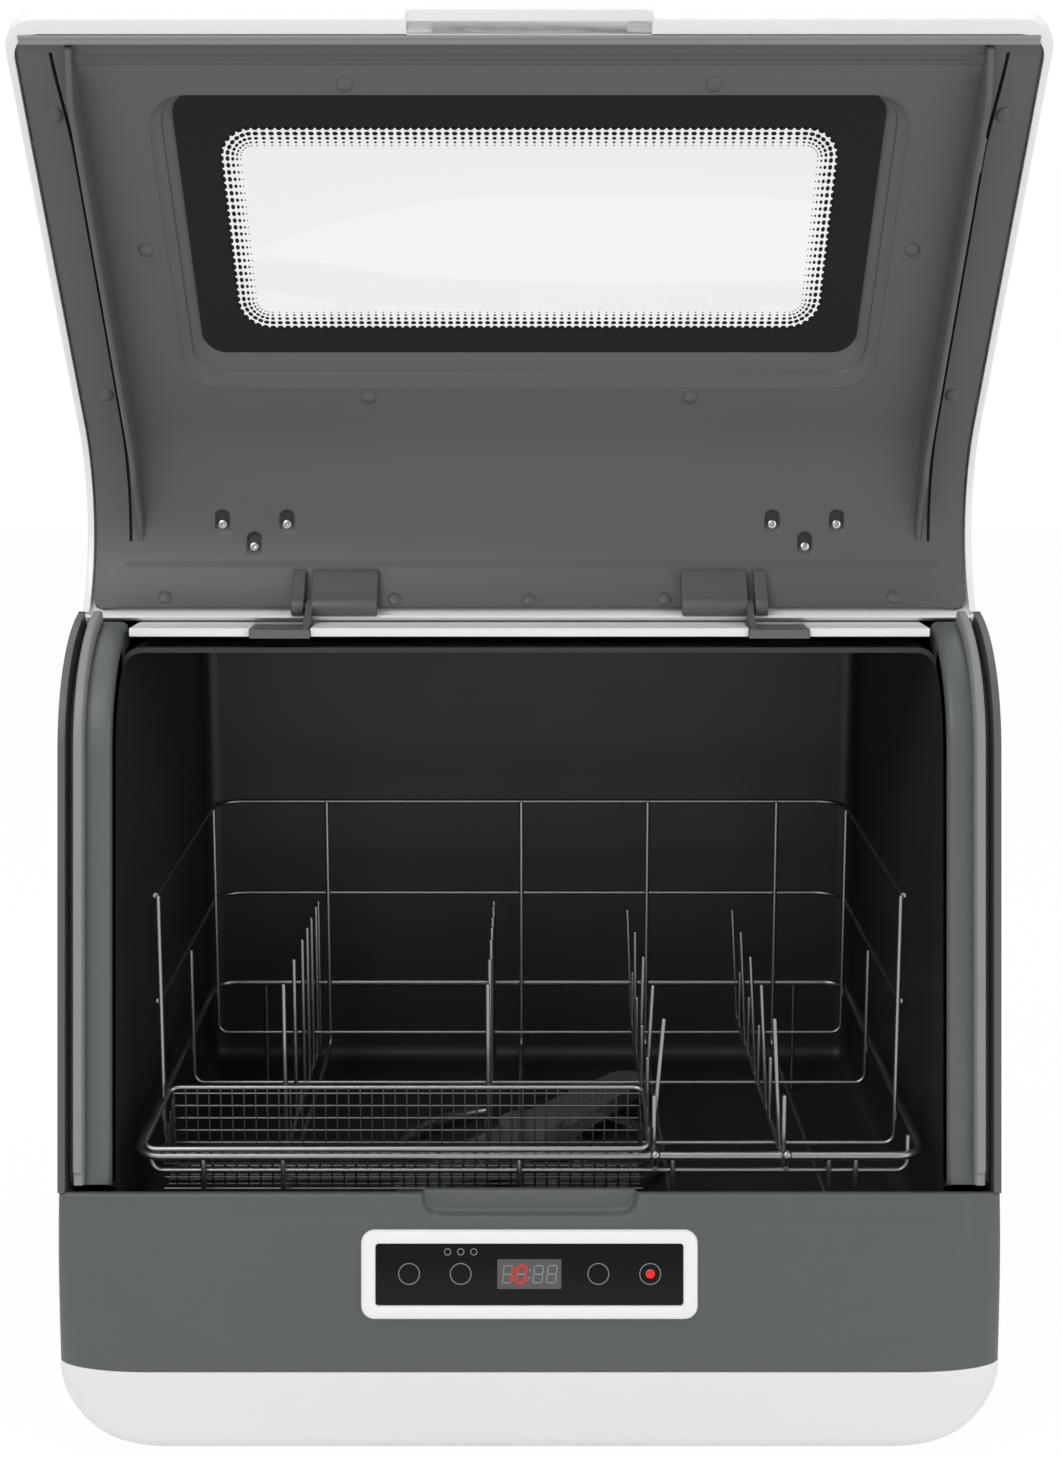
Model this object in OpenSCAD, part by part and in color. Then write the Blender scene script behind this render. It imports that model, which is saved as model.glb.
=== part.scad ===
// Countertop dishwasher with a flip-up windowed lid, a wire rack and a spray arm.
// Millimetres, +Z up.  Y runs from the front to the back, and the lid stands open.

/* [Body] */
// Width over the side panels
body_w = 420; // [380:1:460]
// Depth from the front panel's top edge to the back
body_d = 366; // [350:1:420]
// Height of the front panel's top edge above the table
front_h = 118; // [110:1:130]
// Height of the side panels above the table
side_h = 370; // [360:1:390]
// Height of the white base tray
base_h = 39.5; // [36:0.5:44]
// Lean of the front, in degrees from upright
front_rake = 9.3; // [5:0.1:12]
// Radius of the rounded upper front edge
brow_r = 68; // [60:1:80]
// Wall of the housings
wall = 3; // [2.4:0.1:3.6]
// Width of the base's rounded corners seen from above
corner_w = 42; // [30:1:50]
// Depth of the base's rounded corners seen from above
corner_d = 15; // [10:1:20]
// Outward flare of the base on each side
flare = 1.7; // [0:0.1:3]

/* [Tub] */
// Width of each side frame, from the outside of the casing to the tub
side_frame_w = 23; // [21:0.5:27]
// Sheet of the tub
tub_wall = 2.4; // [1.6:0.1:3]
// Height of the tub floor above the table
tub_floor_h = 80; // [76:1:84]
// Depth behind the tub for the tank, the fan and the boards
service_d = 66; // [62:1:80]
// Inside face of the tub's front wall, behind the front edge
tub_front_y = 9; // [8:0.5:11]
// Radius along the tub's floor and back edges
tub_r = 10; // [8:1:11]
// Distance of the spray arm's axis behind the front edge
arm_y = 135; // [130:1:140]

/* [Lid] */
// Angle the lid has opened, from shut
lid_angle = 134.5; // [110:0.5:136]
// Depth of the lid outside the rim it closes on
lid_depth = 11; // [10.5:0.5:12]
// Depth of the lid at its hinged edge
lid_root = 6; // [5.6:0.1:6.4]
// Length over which the lid thins towards its hinged edge
lid_taper = 60; // [50:1:80]
// Skin of the lid shell
lid_skin = 2; // [1.6:0.1:2.2]
// Gap between the closed lid and the rim
rim_gap = 0.9; // [0.8:0.1:1.2]
// Overhang of the lid past the front panel's top edge
lid_overhang = 2.5; // [1:0.5:4]
// Reach of the finger lip past the lid's free edge
lip_reach = 4; // [2:0.5:6]
// Width of the finger lip
lip_w = 99; // [70:1:140]
// Radius of the lid's free corners
lid_corner_r = 14; // [8:1:24]
// Width of the window glass
glass_w = 296; // [220:1:310]
// Height of the window glass
glass_h = 130; // [90:1:132]
// Distance of the glass's lower edge from the rim's end
glass_from = 31; // [24:1:32]
// Thickness of the glass
glass_t = 2; // [1.5:0.1:2.4]
// Width of the sloped frame around the glass
bezel_w = 10; // [6:0.5:14]

/* [Hinge] */
// Distance of the hinge axis behind the front edge
hinge_y = 94; // [88:0.5:98]
// Middle of each hinge from the centre line
hinge_x = 103; // [90:1:130]
// Radius of the hinge pin
pin_r = 2; // [1.6:0.1:2.2]
// Running clearance round the pin
pin_gap = 0.05; // [0.02:0.01:0.1]
// Radius of the hinge barrels
barrel_r = 3.8; // [3.4:0.1:3.9]
// Thickness of the bracket's arm
arm_t = 2.8; // [2:0.1:3.4]

/* [Control panel] */
// Width of the white control frame
control_w = 149.5; // [130:0.5:160]
// Height of the white control frame
control_h = 39.6; // [36:0.2:44]
// Distance from the front's top edge to the control frame
control_drop = 15.6; // [13:0.2:20]
// Width of the black touch plate
touch_w = 136.6; // [120:0.2:140]
// Height of the black touch plate
touch_h = 27.5; // [24:0.5:30]
// Width of the display window
display_w = 28.4; // [24:0.2:32]
// Height of the display window
display_h = 13.2; // [10:0.2:15]

/* [Rack] */
// Radius of the thin rack wires
wire_r = 1.2; // [1.15:0.05:1.5]
// Radius of the upright tines, a little thinner than the wires they stand on
tine_r = 1.1; // [0.8:0.05:1.1]
// Radius of the thick rack rail
rail_r = 2; // [1.6:0.1:2.4]
// Gap between the tub's sides and the centre of the rack's rail
rack_side_gap = 8; // [7:0.5:20]
// Front of the rack rail behind the front edge
rack_front_y = 20; // [19:0.5:24]
// Gap between the tub's back and the centre of the rack's rail
rack_back_gap = 53; // [41:1:71]
// Height of the thick rail above the front panel's edge
rail_h = 10; // [8:0.5:14]
// Height of the top ring above the front panel's edge
top_ring_h = 128.7; // [110:0.5:135]
// Height of the middle ring above the front panel's edge
mid_ring_h = 77; // [65:1:85]
// Height of the plate tines above the front panel's edge
tine_h = 72; // [50:1:80]

/* [Cutlery basket] */
// Width of the rack beside the cutlery basket, kept for bowls
bowl_side_w = 127; // [125:1:160]
// Depth of the cutlery basket's floor
basket_d = 29; // [24:0.5:30]
// Wire thickness of the mesh
mesh_t = 1; // [0.8:0.1:1.4]
// Spacing of the mesh
mesh_pitch = 10; // [9.5:0.5:14]

/* [Spray arm] */
// Reach of the spray arm from its axis
arm_reach = 106; // [80:1:108]
// Angle of the resting spray arm
arm_turn = 56; // [0:1:180]
// Outside radius of the feed pipe
feed_r = 9; // [7:0.5:10]

/* [Water and air] */
// Outside radius of the drain outlet
drain_r = 9.5; // [8:0.5:12]
// Reach of the drain outlet behind the back panel
drain_reach = 18; // [12:1:26]
// Radius of the drying fan's wheel
fan_r = 36; // [28:1:38]
// Number of fan blades
fan_blades = 7; // [5:1:11]

/* [Hidden] */
$fn = 48;
eps = 0.01;
fit_gap = 0.2;
half_w = body_w / 2;
tub_half_w = half_w - side_frame_w;
tub_back_y = body_d - service_d;

// ---- the rim that the lid closes on -------------------------------------------------
// It leans back from the front panel's top edge, then rounds over into the level top.
brow_z = side_h - brow_r;
brow_y = (brow_z - front_h) * tan(front_rake) + brow_r / cos(front_rake);
rim_flat = (brow_z + brow_r * sin(front_rake) - front_h) / cos(front_rake);
hinge_tilt = asin((brow_y - hinge_y) / brow_r);
rim_len = rim_flat + (90 - front_rake - hinge_tilt) * PI / 180 * brow_r;
rim_steps = 14;

// Direction of the rim at a distance t along it, in degrees above level
function rim_dir(t) = t <= rim_flat ? 90 - front_rake
    : 90 - front_rake - (t - rim_flat) / brow_r * 180 / PI;
// Point at a distance t along the rim and s outside it, as [Y, Z]
function rim_pt(t, s = 0) = t <= rim_flat
    ? [t * sin(front_rake) - s * cos(front_rake), front_h + t * cos(front_rake) + s * sin(front_rake)]
    : [brow_y - (brow_r + s) * sin(rim_dir(t)), brow_z + (brow_r + s) * cos(rim_dir(t))];
// Places along the rim where a strip from t0 to t1 needs a point
function rim_stations(t0, t1) = t1 <= rim_flat ? [t0, t1] : concat(t0 < rim_flat ? [t0] : [],
    [for (i = [0:rim_steps]) let(bent = max(t0, rim_flat)) bent + i * (t1 - bent) / rim_steps]);
function strip(t0, t1, s0, s1) = let(ts = rim_stations(t0, t1), n = len(ts))
    concat([for (t = ts) rim_pt(t, s0)], [for (i = [n - 1:-1:0]) rim_pt(ts[i], s1)]);
function arc(cy, cz, r, a0, a1, n = 8) =
    [for (i = [0:n]) let(a = a0 + (a1 - a0) * i / n) [cy + r * cos(a), cz + r * sin(a)]];

// Outer face of the lid above the rim: full depth, thinning to the root at the hinge
function lid_s(t) = lid_depth - (lid_depth - lid_root) * max(0, 1 - (rim_len - t) / lid_taper);
function lid_strip(t0, t1, in0, in1) = let(ts = rim_stations(t0, t1), n = len(ts))
    concat([for (t = ts) rim_pt(t, in0 == undef ? rim_gap : lid_s(t) - in0)],
        [for (i = [n - 1:-1:0]) rim_pt(ts[i], lid_s(ts[i]) - in1)]);
hinge = rim_pt(rim_len);
front_foot_y = -(front_h - base_h) * tan(front_rake);

// ---- lengths of the open lid, which set the front of the whole ----------------------
// A point given beside the hinge with the lid shut, after the lid has opened
function opened(p) = let(d = p - hinge)
    hinge + [d[0] * cos(lid_angle) + d[1] * sin(lid_angle), d[1] * cos(lid_angle) - d[0] * sin(lid_angle)];
lip_front = opened(rim_pt(-lid_overhang - lip_reach, rim_gap));
rear_reach = body_d + drain_reach;
middle_y = (lip_front[0] + rear_reach) / 2;

module place() { translate([0, -middle_y, 0]) children(); }
// Extrudes an outline drawn in Y and Z from x0 to x1
module slab(x0, x1) { translate([x0, 0, 0]) rotate([90, 0, 90]) linear_extrude(x1 - x0) children(); }
module both_sides() { children(); mirror([1, 0, 0]) children(); }
// Sits children on the rim: their x across, y along the rim, z outward
module at_rim(t, s = 0) {
    p = rim_pt(t, s);
    translate([0, p[0], p[1]]) rotate([rim_dir(t), 0, 0]) children();
}
module lid_pose() {
    translate([0, hinge[0], hinge[1]]) rotate([-lid_angle, 0, 0])
        translate([0, -hinge[0], -hinge[1]]) children();
}
module tube(r_out, r_in, h) { difference() { cylinder(r = r_out, h = h);
    translate([0, 0, -1]) cylinder(r = r_in, h = h + 2); } }
module rounded_plate(w, h, r, t) {
    union() {
        translate([-w / 2 + r, -h / 2, 0]) cube([w - 2 * r, h, t]);
        translate([-w / 2, -h / 2 + r, 0]) cube([w, h - 2 * r, t]);
        for (x = [-1, 1], y = [-1, 1])
            translate([x * (w / 2 - r), y * (h / 2 - r), 0]) cylinder(r = r, h = t);
    }
}

// ---- lofts through level rings ------------------------------------------------------
ring_arc_steps = 7;
function corner_pts(cx, cy, rx, ry, a0, z) = [for (i = [0:ring_arc_steps])
    let(a = a0 + 90 * i / ring_arc_steps) [cx + rx * cos(a), cy + ry * sin(a), z]];
// A level ring with corners that are rx wide and ry deep
function plan_ring(hw, yf, yr, rx, ry, z) = concat(
    corner_pts(hw - rx, yf + ry, rx, ry, -90, z), corner_pts(hw - rx, yr - ry, rx, ry, 0, z),
    corner_pts(-hw + rx, yr - ry, rx, ry, 90, z), corner_pts(-hw + rx, yf + ry, rx, ry, 180, z));
module loft(rings) {
    n = len(rings[0]); m = len(rings);
    polyhedron(points = [for (r = rings, p = r) p],
        faces = concat([[for (i = [0:n - 1]) i]], [[for (i = [n - 1:-1:0]) (m - 1) * n + i]],
            [for (k = [0:m - 2], i = [0:n - 1]) let(j = (i + 1) % n)
                [k * n + i, (k + 1) * n + i, (k + 1) * n + j]],
            [for (k = [0:m - 2], i = [0:n - 1]) let(j = (i + 1) % n)
                [k * n + i, (k + 1) * n + j, k * n + j]]), convexity = 8);
}

// ---- bent wires and hoses -----------------------------------------------------------
function unit(v) = v / norm(v);
// The bend of radius r, in n steps, that takes the place of the corner at q between p and s
function bend_at(p, q, s, r, n) = let(a = unit(p - q), b = unit(s - q), half = acos(a * b) / 2,
        c = q + unit(a + b) * (r / sin(half)), u = unit(q + a * (r / tan(half)) - c),
        v = unit(-a - u * (-a * u)), turn = 180 - 2 * half)
    [for (k = [0:n]) let(w = turn * k / n) c + r * (u * cos(w) + v * sin(w))];
// A path with each inner corner bent
function bend(p, r, n = 3) = concat([p[0]], [for (i = [1:len(p) - 2])
    each bend_at(p[i - 1], p[i], p[i + 1], r, n)], [p[len(p) - 1]]);
// A closed path with every corner bent
function bend_loop(p, r, n = 3) = let(m = len(p)) [for (i = [0:m - 1])
    each bend_at(p[(i + m - 1) % m], p[i], p[(i + 1) % m], r, n)];
// A closed path is given without repeating its first point
module sweep(path, r, sides = 8, closed = false) {
    n = len(path);
    dirs = [for (i = [0:n - 1]) closed ? unit(path[(i + 1) % n] - path[(i + n - 1) % n])
        : unit(path[min(i + 1, n - 1)] - path[max(i - 1, 0)])];
    ref = norm(cross(dirs[0], [0, 0, 1])) < 0.5 ? [1, 0, 0] : [0, 0, 1];
    flat_axis = closed ? unit(cross(path[floor(n / 3)] - path[0], path[floor(2 * n / 3)] - path[0]))
        : unit(cross(path[min(2, n - 1)] - path[0] + [0.0013, 0.0007, 0.0011],
            path[n - 1] - path[0] + ref * 0.013));
    rings = [for (i = [0:n - 1]) let(u = unit(flat_axis - dirs[i] * (flat_axis * dirs[i])),
            v = cross(dirs[i], u), prev = closed ? unit(path[i] - path[(i + n - 1) % n])
                : i > 0 && i < n - 1 ? unit(path[i] - path[i - 1]) : dirs[i],
            miter = 1 / max(0.5, prev * dirs[i]))
        [for (k = [0:sides - 1]) let(a = 360 * k / sides)
            path[i] + r * (u * cos(a) + v * sin(a) * miter)]];
    caps = closed ? [] : [[for (k = [0:sides - 1]) k], [for (k = [sides - 1:-1:0]) (n - 1) * sides + k]];
    last = closed ? n - 1 : n - 2;
    polyhedron(points = [for (g = rings, p = g) p],
        faces = concat(caps, [for (i = [0:last], k = [0:sides - 1]) let(j = (k + 1) % sides, m = (i + 1)
            % n)
                [i * sides + k, m * sides + j, i * sides + j]],
            [for (i = [0:last], k = [0:sides - 1]) let(j = (k + 1) % sides, m = (i + 1) % n)
                [i * sides + k, m * sides + k, m * sides + j]]), convexity = 10);
}
module rod(a, b, r) {
    d = b - a;
    translate(a) rotate([0, acos(d[2] / norm(d)), atan2(d[1], d[0])]) cylinder(r = r, h = norm(d),
        $fn = 24);
}

// ---- base and housing ---------------------------------------------------------------
foot_r = 13;
foot_h = 3;
// Height of the tray's underside above the table, where the feet stand out of it
tray_bottom = 1.5;
tray_curve_w = 58;
tray_curve_h = 40;
// Rounding of the tray's lower front and rear edges
tray_edge_r = 7;
tray_steps = 9;
function tray_inset(z) = z >= tray_bottom + tray_curve_h ? 0
    : tray_curve_w * (1 - sqrt(1 - pow((tray_bottom + tray_curve_h - z) / tray_curve_h * 0.985, 2)));
tray_top_inset = tray_inset(base_h);
function tray_edge_inset(z) = z >= tray_bottom + tray_edge_r ? 0
    : tray_edge_r * (1 - sqrt(1 - pow((tray_bottom + tray_edge_r - z) / tray_edge_r * 0.985, 2)));
// The corner that is left of the plan's where the sides have drawn in
function tray_ring(z, grow) = let(in = tray_inset(z) - tray_top_inset, edge = tray_edge_inset(z) + grow,
        cx = max(corner_w - in, tray_edge_r), cy = corner_d * (1 - sqrt(1 - pow(cx / corner_w, 2))))
    plan_ring(half_w + flare - in - grow, front_foot_y + edge, body_d - edge, cx, max(cy, 2), z);
module base_tray() {
    zs = [for (i = [0:tray_steps]) base_h - (base_h - tray_bottom) * sin(90 * i / tray_steps)];
    order = [for (i = [tray_steps:-1:0]) zs[i]];
    color("whitesmoke") place() difference() {
        loft([for (z = order) tray_ring(z, 0)]);
        loft([for (z = order) let(p = tray_ring(z, wall))
            [for (q = p) [q[0], q[1], z == base_h ? base_h + 1 : max(z,
                tray_bottom) + wall * (1 - (z - tray_bottom) / (base_h - tray_bottom))]]]);
        at_feet() cylinder(r = foot_r + fit_gap, h = foot_h);
    }
}
foot_x = half_w - 80;
foot_front_y = 50;
foot_back_y = body_d - 60;
module at_feet() {
    for (x = [-foot_x, foot_x], y = [foot_front_y, foot_back_y]) translate([x, y, 0]) children();
}
module rubber_feet() { color("dimgray") place() at_feet() cylinder(r = foot_r, h = foot_h); }

corner_top_r = 4;
belt_steps = 4;
function belt_ring(k, grow) = let(f = k / belt_steps, z = base_h + (front_h - base_h) * f,
        cx = corner_w + (corner_top_r - corner_w) * sin(90 * f),
        cy = corner_d + (corner_top_r - corner_d) * sin(90 * f))
    plan_ring(half_w + flare * (1 - f) - grow, front_foot_y * (1 - f) + grow,
        body_d - grow, max(cx - grow, 1), max(cy - grow, 1), z);
pocket_w = 96;
pocket_h = 10;
pocket_deep = 4.8;
field_raise = 0.5;
field_half_w = 195;
field_r = 61;
field_h = 68;
module front_field() {
    at_rim(0) translate([0, 0, -1]) linear_extrude(1 + field_raise) difference() {
        union() {
            translate([-field_half_w, -field_h + field_r]) square([2 * field_half_w, field_h - field_r]);
            translate([-field_half_w + field_r, -field_h]) square([2 * (field_half_w - field_r), field_h]);
            for (x = [-1, 1]) translate([x * (field_half_w - field_r), -field_h + field_r])
                circle(r = field_r, $fn = 96);
        }
        translate([-half_w, 0]) square([body_w, field_r]);
    }
}
module lower_housing() {
    color("#64686a") place() difference() {
        union() {
            difference() {
                loft([for (k = [0:belt_steps]) belt_ring(k, 0)]);
                loft([for (k = [0:belt_steps]) let(p = belt_ring(k, wall), last = k == belt_steps)
                    [for (q = p) [q[0], q[1], q[2] + (last ? 1 : k == 0 ? -1 : 0)]]]);
            }
            front_field();
            slab(-pocket_w / 2 - 2, pocket_w / 2 + 2)
                polygon([[1, front_h], [pocket_deep + 1.4, front_h], [pocket_deep + 1.4,
                    front_h - pocket_h - 2],
                    [-1, front_h - pocket_h - 2]]);
        }
        at_rim(-pocket_h / 2 + 1, -3) translate([0, 2, 0])
            rounded_plate(pocket_w, pocket_h + 6, 4, 10);
        slab(-pocket_w / 2 + 2, pocket_w / 2 - 2)
            polygon([[0, front_h + 1], [pocket_deep, front_h + 1], [pocket_deep, front_h - pocket_h + 2],
                [-4, front_h - pocket_h + 2]]);
        at_rim(-control_drop - control_h / 2, -wall * 2)
            translate([-touch_w / 2 - fit_gap, -touch_h / 2 - fit_gap, 0])
                cube([touch_w + 2 * fit_gap, touch_h + 2 * fit_gap, wall * 4]);
        rear_cuts();
    }
}

panel_t = 3.2;
scallop_r = lid_root + 3.6;
cover_r = lid_root - 0.5;
cover_seat = 0.3;
module side_outline() {
    difference() {
        polygon(concat([[0, front_h + fit_gap]], [for (t = rim_stations(1, rim_len + 5)) rim_pt(t)],
            [[body_d, side_h], [body_d, front_h + fit_gap]]));
        translate(hinge) circle(r = scallop_r);
    }
}
module side_panel() { place() slab(half_w - panel_t, half_w) side_outline(); }
module side_panel_left() { color("#5d6163") mirror([1, 0, 0]) side_panel(); }
module side_panel_right() { color("#5d6163") side_panel(); }

// Ports in the back of the housing, as [X, Z]
drain_at = [-half_w + 80, tub_floor_h - 14];
inlet_at = [-half_w + 42, front_h + 82];
power_at = [half_w - 82, base_h + 32.5];
fan_at = [half_w - 90, side_h - 86];
inlet_r = 13;
// Thickness of the collar that fills a port's hole round its pipe
collar_t = 1.4;
power_size = [30, 24];
vent_slots = 9;
module rear_cuts() {
    translate([drain_at[0], body_d - 12, drain_at[1]]) rotate([-90, 0, 0])
        cylinder(r = drain_r + collar_t + fit_gap, h = 30);
    translate([power_at[0] - power_size[0] / 2 - fit_gap, body_d - 12, power_at[1] - power_size[1]
        / 2 - fit_gap])
        cube([power_size[0] + 2 * fit_gap, 30, power_size[1] + 2 * fit_gap]);
}
rear_inner = half_w - panel_t - fit_gap;
screw_r = 2;
screw_places = [for (x = [-1, 0, 1], z = [front_h + 20, side_h - 34]) [x * (rear_inner - 18), z]];
module rear_panel() {
    color("#5d6163") place() difference() {
        translate([-rear_inner, body_d - wall, front_h + fit_gap])
            cube([2 * rear_inner, wall, side_h - front_h - fit_gap]);
        translate([inlet_at[0], body_d - 12, inlet_at[1]]) rotate([-90, 0, 0])
            cylinder(r = inlet_r + collar_t + fit_gap, h = 30);
        for (i = [0:vent_slots - 1], z = fan_at[1] + (i - (vent_slots - 1) / 2) * 8)
            translate([fan_at[0] - 34, body_d - wall - 1, z - 1.8]) cube([68, wall + 2, 3.6]);
        for (p = screw_places) translate([p[0], body_d - wall - 1, p[1]]) rotate([-90, 0, 0])
            cylinder(r = screw_r + 0.1, h = wall + 2);
    }
}
screw_head_r = 4;
screw_head_t = 2;
module case_screws() {
    color("silver") place() for (p = screw_places) translate([p[0], body_d - wall - 6, p[1]]) rotate([-90,
        0, 0]) {
        cylinder(r = screw_r, h = wall + 6);
        translate([0, 0, wall + 6]) difference() {
            cylinder(r = screw_head_r, h = screw_head_t);
            for (a = [0, 90]) rotate(a) translate([-2.4, -0.5, 1]) cube([4.8, 1, 2]);
        }
    }
}

// ---- top cover with the trough that the lid's back edge turns in --------------------
cover_top = side_h + lid_root;
cover_front_y = hinge[0] + lid_root + 0.9;
trough_z = hinge[1] - lid_root - 0.7;
cover_chamfer = 10.5;
cover_t = 2.5;
lip_y = 68;
lip_drop = 4;
trough_half_w = tub_half_w - 3.4;
bracket_half = 14;
cap_at = [-half_w + 150, body_d - 30];
cap_r = 19;
cap_neck_r = 15;
module cover_outline() {
    polygon(concat([[cover_front_y + cover_chamfer - lid_root, side_h + cover_seat],
        [cover_front_y + cover_chamfer, cover_top]],
        arc(body_d - cover_r, cover_top - cover_r, cover_r, 90, 0), [[body_d, side_h + cover_seat]]));
}
module cover_hollow() {
    polygon(concat([[cover_front_y + cover_chamfer + cover_t, side_h - 1],
        [cover_front_y + cover_chamfer + cover_t, cover_top - cover_t]],
        arc(body_d - cover_r, cover_top - cover_r, cover_r - cover_t, 90, 0),
        [[body_d - cover_t, side_h - 1]]));
}
module top_cover() {
    color("whitesmoke") place() difference() {
        union() {
            difference() {
                slab(-half_w, half_w) cover_outline();
                slab(-half_w + cover_t, half_w - cover_t) cover_hollow();
            }
            // front wall, trough floor and the lip that hangs in the mouth of the tub
            slab(-trough_half_w, trough_half_w) polygon([[lip_y, trough_z - lip_drop],
                [lip_y, trough_z], [cover_front_y, trough_z], [cover_front_y, hinge[1] - 2.9],
                [cover_front_y + cover_chamfer, cover_top], [cover_front_y + cover_chamfer + cover_t,
                    cover_top],
                [cover_front_y + cover_chamfer + cover_t, cover_top - cover_t], [cover_front_y + cover_t,
                    hinge[1] - 3.6],
                [cover_front_y + cover_t, trough_z - cover_t],
                [lip_y + cover_t, trough_z - cover_t], [lip_y + cover_t, trough_z - lip_drop]]);
        }
        both_sides() translate([hinge_x + bracket_shift - bracket_half, lip_y - 1, trough_z - 20])
            cube([2 * bracket_half, hinge[0] - lip_y + 1, 40]);
        translate([cap_at[0], cap_at[1], cover_top - 20]) cylinder(r = cap_neck_r + fit_gap, h = 40);
    }
}

// ---- tub ----------------------------------------------------------------------------
frame_s = -4;
frame_t = 3;
tub_rim_s = frame_s - frame_t - 0.3;
tub_top = trough_z - lip_drop - 5.2;
tub_mouth_z = front_h - 5;
sump_hole_r = 48;
function tub_path(g) = concat([[tub_front_y - g, tub_mouth_z]],
    arc(tub_front_y + tub_r, tub_floor_h + tub_r, tub_r + g, 180, 270),
    arc(tub_back_y - tub_r, tub_floor_h + tub_r, tub_r + g, 270, 360),
    arc(tub_back_y - tub_r, tub_top - tub_wall - tub_r, tub_r + g, 0, 90),
    [[lip_y + 2, tub_top - tub_wall + g]]);
module tub_side_outline() {
    mouth = [for (t = rim_stations(2, rim_len)) let(p = rim_pt(t, tub_rim_s)) if (p[0] < lip_y + 2 && p[0]
        > tub_front_y - tub_wall) p];
    polygon(concat(tub_path(tub_wall), [for (i = [len(mouth) - 1:-1:0]) mouth[i]]));
}
heater_r = 66;
heater_tube_r = 3.2;
heater_gap = 20;
module tub() {
    color("#2b2b2b") place() difference() {
        union() {
            slab(-tub_half_w - eps, tub_half_w + eps) difference() {
                polygon(tub_path(tub_wall));
                polygon(concat(tub_path(0), [[lip_y + 2, side_h + 40], [-60, side_h + 40], [-60,
                    tub_mouth_z]]));
            }
            both_sides() slab(tub_half_w, tub_half_w + tub_wall) tub_side_outline();
            // the roof's front edge turns up behind the white lip
            slab(-tub_half_w + 0.3, tub_half_w - 0.3) translate([lip_y + 2, tub_top - tub_wall])
                square([tub_wall, tub_wall + 4.4]);
        }
        translate([0, arm_y, tub_floor_h - 10]) cylinder(r = sump_hole_r, h = 20);
        for (a = [-1, 1]) heater_leg_place(a) translate([0, 0, -30]) cylinder(r = heater_tube_r + 0.2,
            h = 40);
    }
}
module heater_leg_place(side) {
    translate([0, arm_y, tub_floor_h + 6]) rotate(90 + side * heater_gap) translate([heater_r, 0, 0])
        children();
}
module heater() {
    color("silver") place() {
        translate([0, arm_y, tub_floor_h + 6]) rotate(90 + heater_gap)
            rotate_extrude(angle = 360 - 2 * heater_gap, $fn = 72) translate([heater_r, 0])
                circle(r = heater_tube_r, $fn = 20);
        for (a = [-1, 1]) heater_leg_place(a) translate([0, 0, -22]) cylinder(r = heater_tube_r, h = 22,
            $fn = 20);
        for (a = [-1, 1]) heater_leg_place(a) sphere(r = heater_tube_r, $fn = 20);
    }
}

// ---- frames and seals round the mouth -----------------------------------------------
seal_out = half_w - 7;
seal_in = seal_out - 4.5;
// Places along the rim between which the lid's own seal lies
lid_seal_from = 4.4;
lid_seal_to = 8.6;
frame_foot = 12;
rim_end = rim_len - scallop_r - 1;
module opening_frame() {
    place() {
        slab(tub_half_w, half_w - panel_t - fit_gap) polygon(strip(3, rim_end, frame_s, frame_s - frame_t));
        slab(tub_half_w + tub_wall + 0.6, tub_half_w + tub_wall + 3)
            polygon(strip(6, rim_end - 2, frame_s - frame_t, frame_s - frame_foot));
    }
}
module opening_frame_left() { color("#6a6e70") mirror([1, 0, 0]) opening_frame(); }
module opening_frame_right() { color("#6a6e70") opening_frame(); }
module side_seals() {
    color("#8f9392") place() both_sides() slab(seal_in, seal_out) {
        polygon(strip(3, rim_end, 0, frame_s));
        polygon(strip(lid_seal_to + 0.6, rim_end, inner_s - 0.4, frame_s));
    }
}

// ---- control panel ------------------------------------------------------------------
control_mid = -control_drop - control_h / 2;
control_raise = 3;
touch_proud = 1.6;
led_at = [53.7, 1];
display_at = [0.2, 1];
module on_control(s = 0) { place() at_rim(control_mid, s) children(); }
module control_frame() {
    color("gainsboro") on_control(field_raise) difference() {
        rounded_plate(control_w, control_h, 6, control_raise);
        translate([0, 0, -1]) rounded_plate(touch_w, touch_h, 1.5, control_raise + 2);
    }
}
module touch_plate() {
    color("#1c1c1c") on_control(-wall + 0.2) difference() {
        rounded_plate(touch_w - fit_gap, touch_h - fit_gap, 1.4, wall + field_raise + touch_proud - 0.2);
        translate([display_at[0] - display_w / 2, display_at[1] - display_h / 2, -1])
            cube([display_w, display_h, wall * 4]);
        translate([led_at[0], led_at[1], -1]) cylinder(r = 1.7, h = wall * 4);
    }
}
module display_module() {
    color("#6a6a6a") on_control(-wall - 4) translate([display_at[0], display_at[1], 0]) {
        translate([-display_w / 2 + fit_gap, -display_h / 2 + fit_gap, 0])
            cube([display_w - 2 * fit_gap, display_h - 2 * fit_gap,
                wall + 4 + field_raise + touch_proud - 0.6]);
    }
}
module power_lamp() {
    color("#d2232a") on_control(-wall - 4) translate([led_at[0], led_at[1], 0]) {
        cylinder(r = 1.5, h = 7);
        translate([0, 0, 7]) sphere(r = 1.5);
    }
}
board_t = 1.6;
module touch_board() {
    color("darkgreen") on_control(-wall - 4 - board_t) {
        translate([-touch_w / 2 + 3, -touch_h / 2 + 2, 0]) cube([touch_w - 6, touch_h - 4, board_t]);
        for (x = [-53.5, -30.5, 30.7]) translate([x, 1, board_t]) tube(4, 3, 4 + 0.1);
        for (x = [-40, 44]) translate([x, -8, -6]) cube([8, 5, 6]);
    }
}
board_at = [half_w - 132, body_d - 48, front_h + 10];
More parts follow.
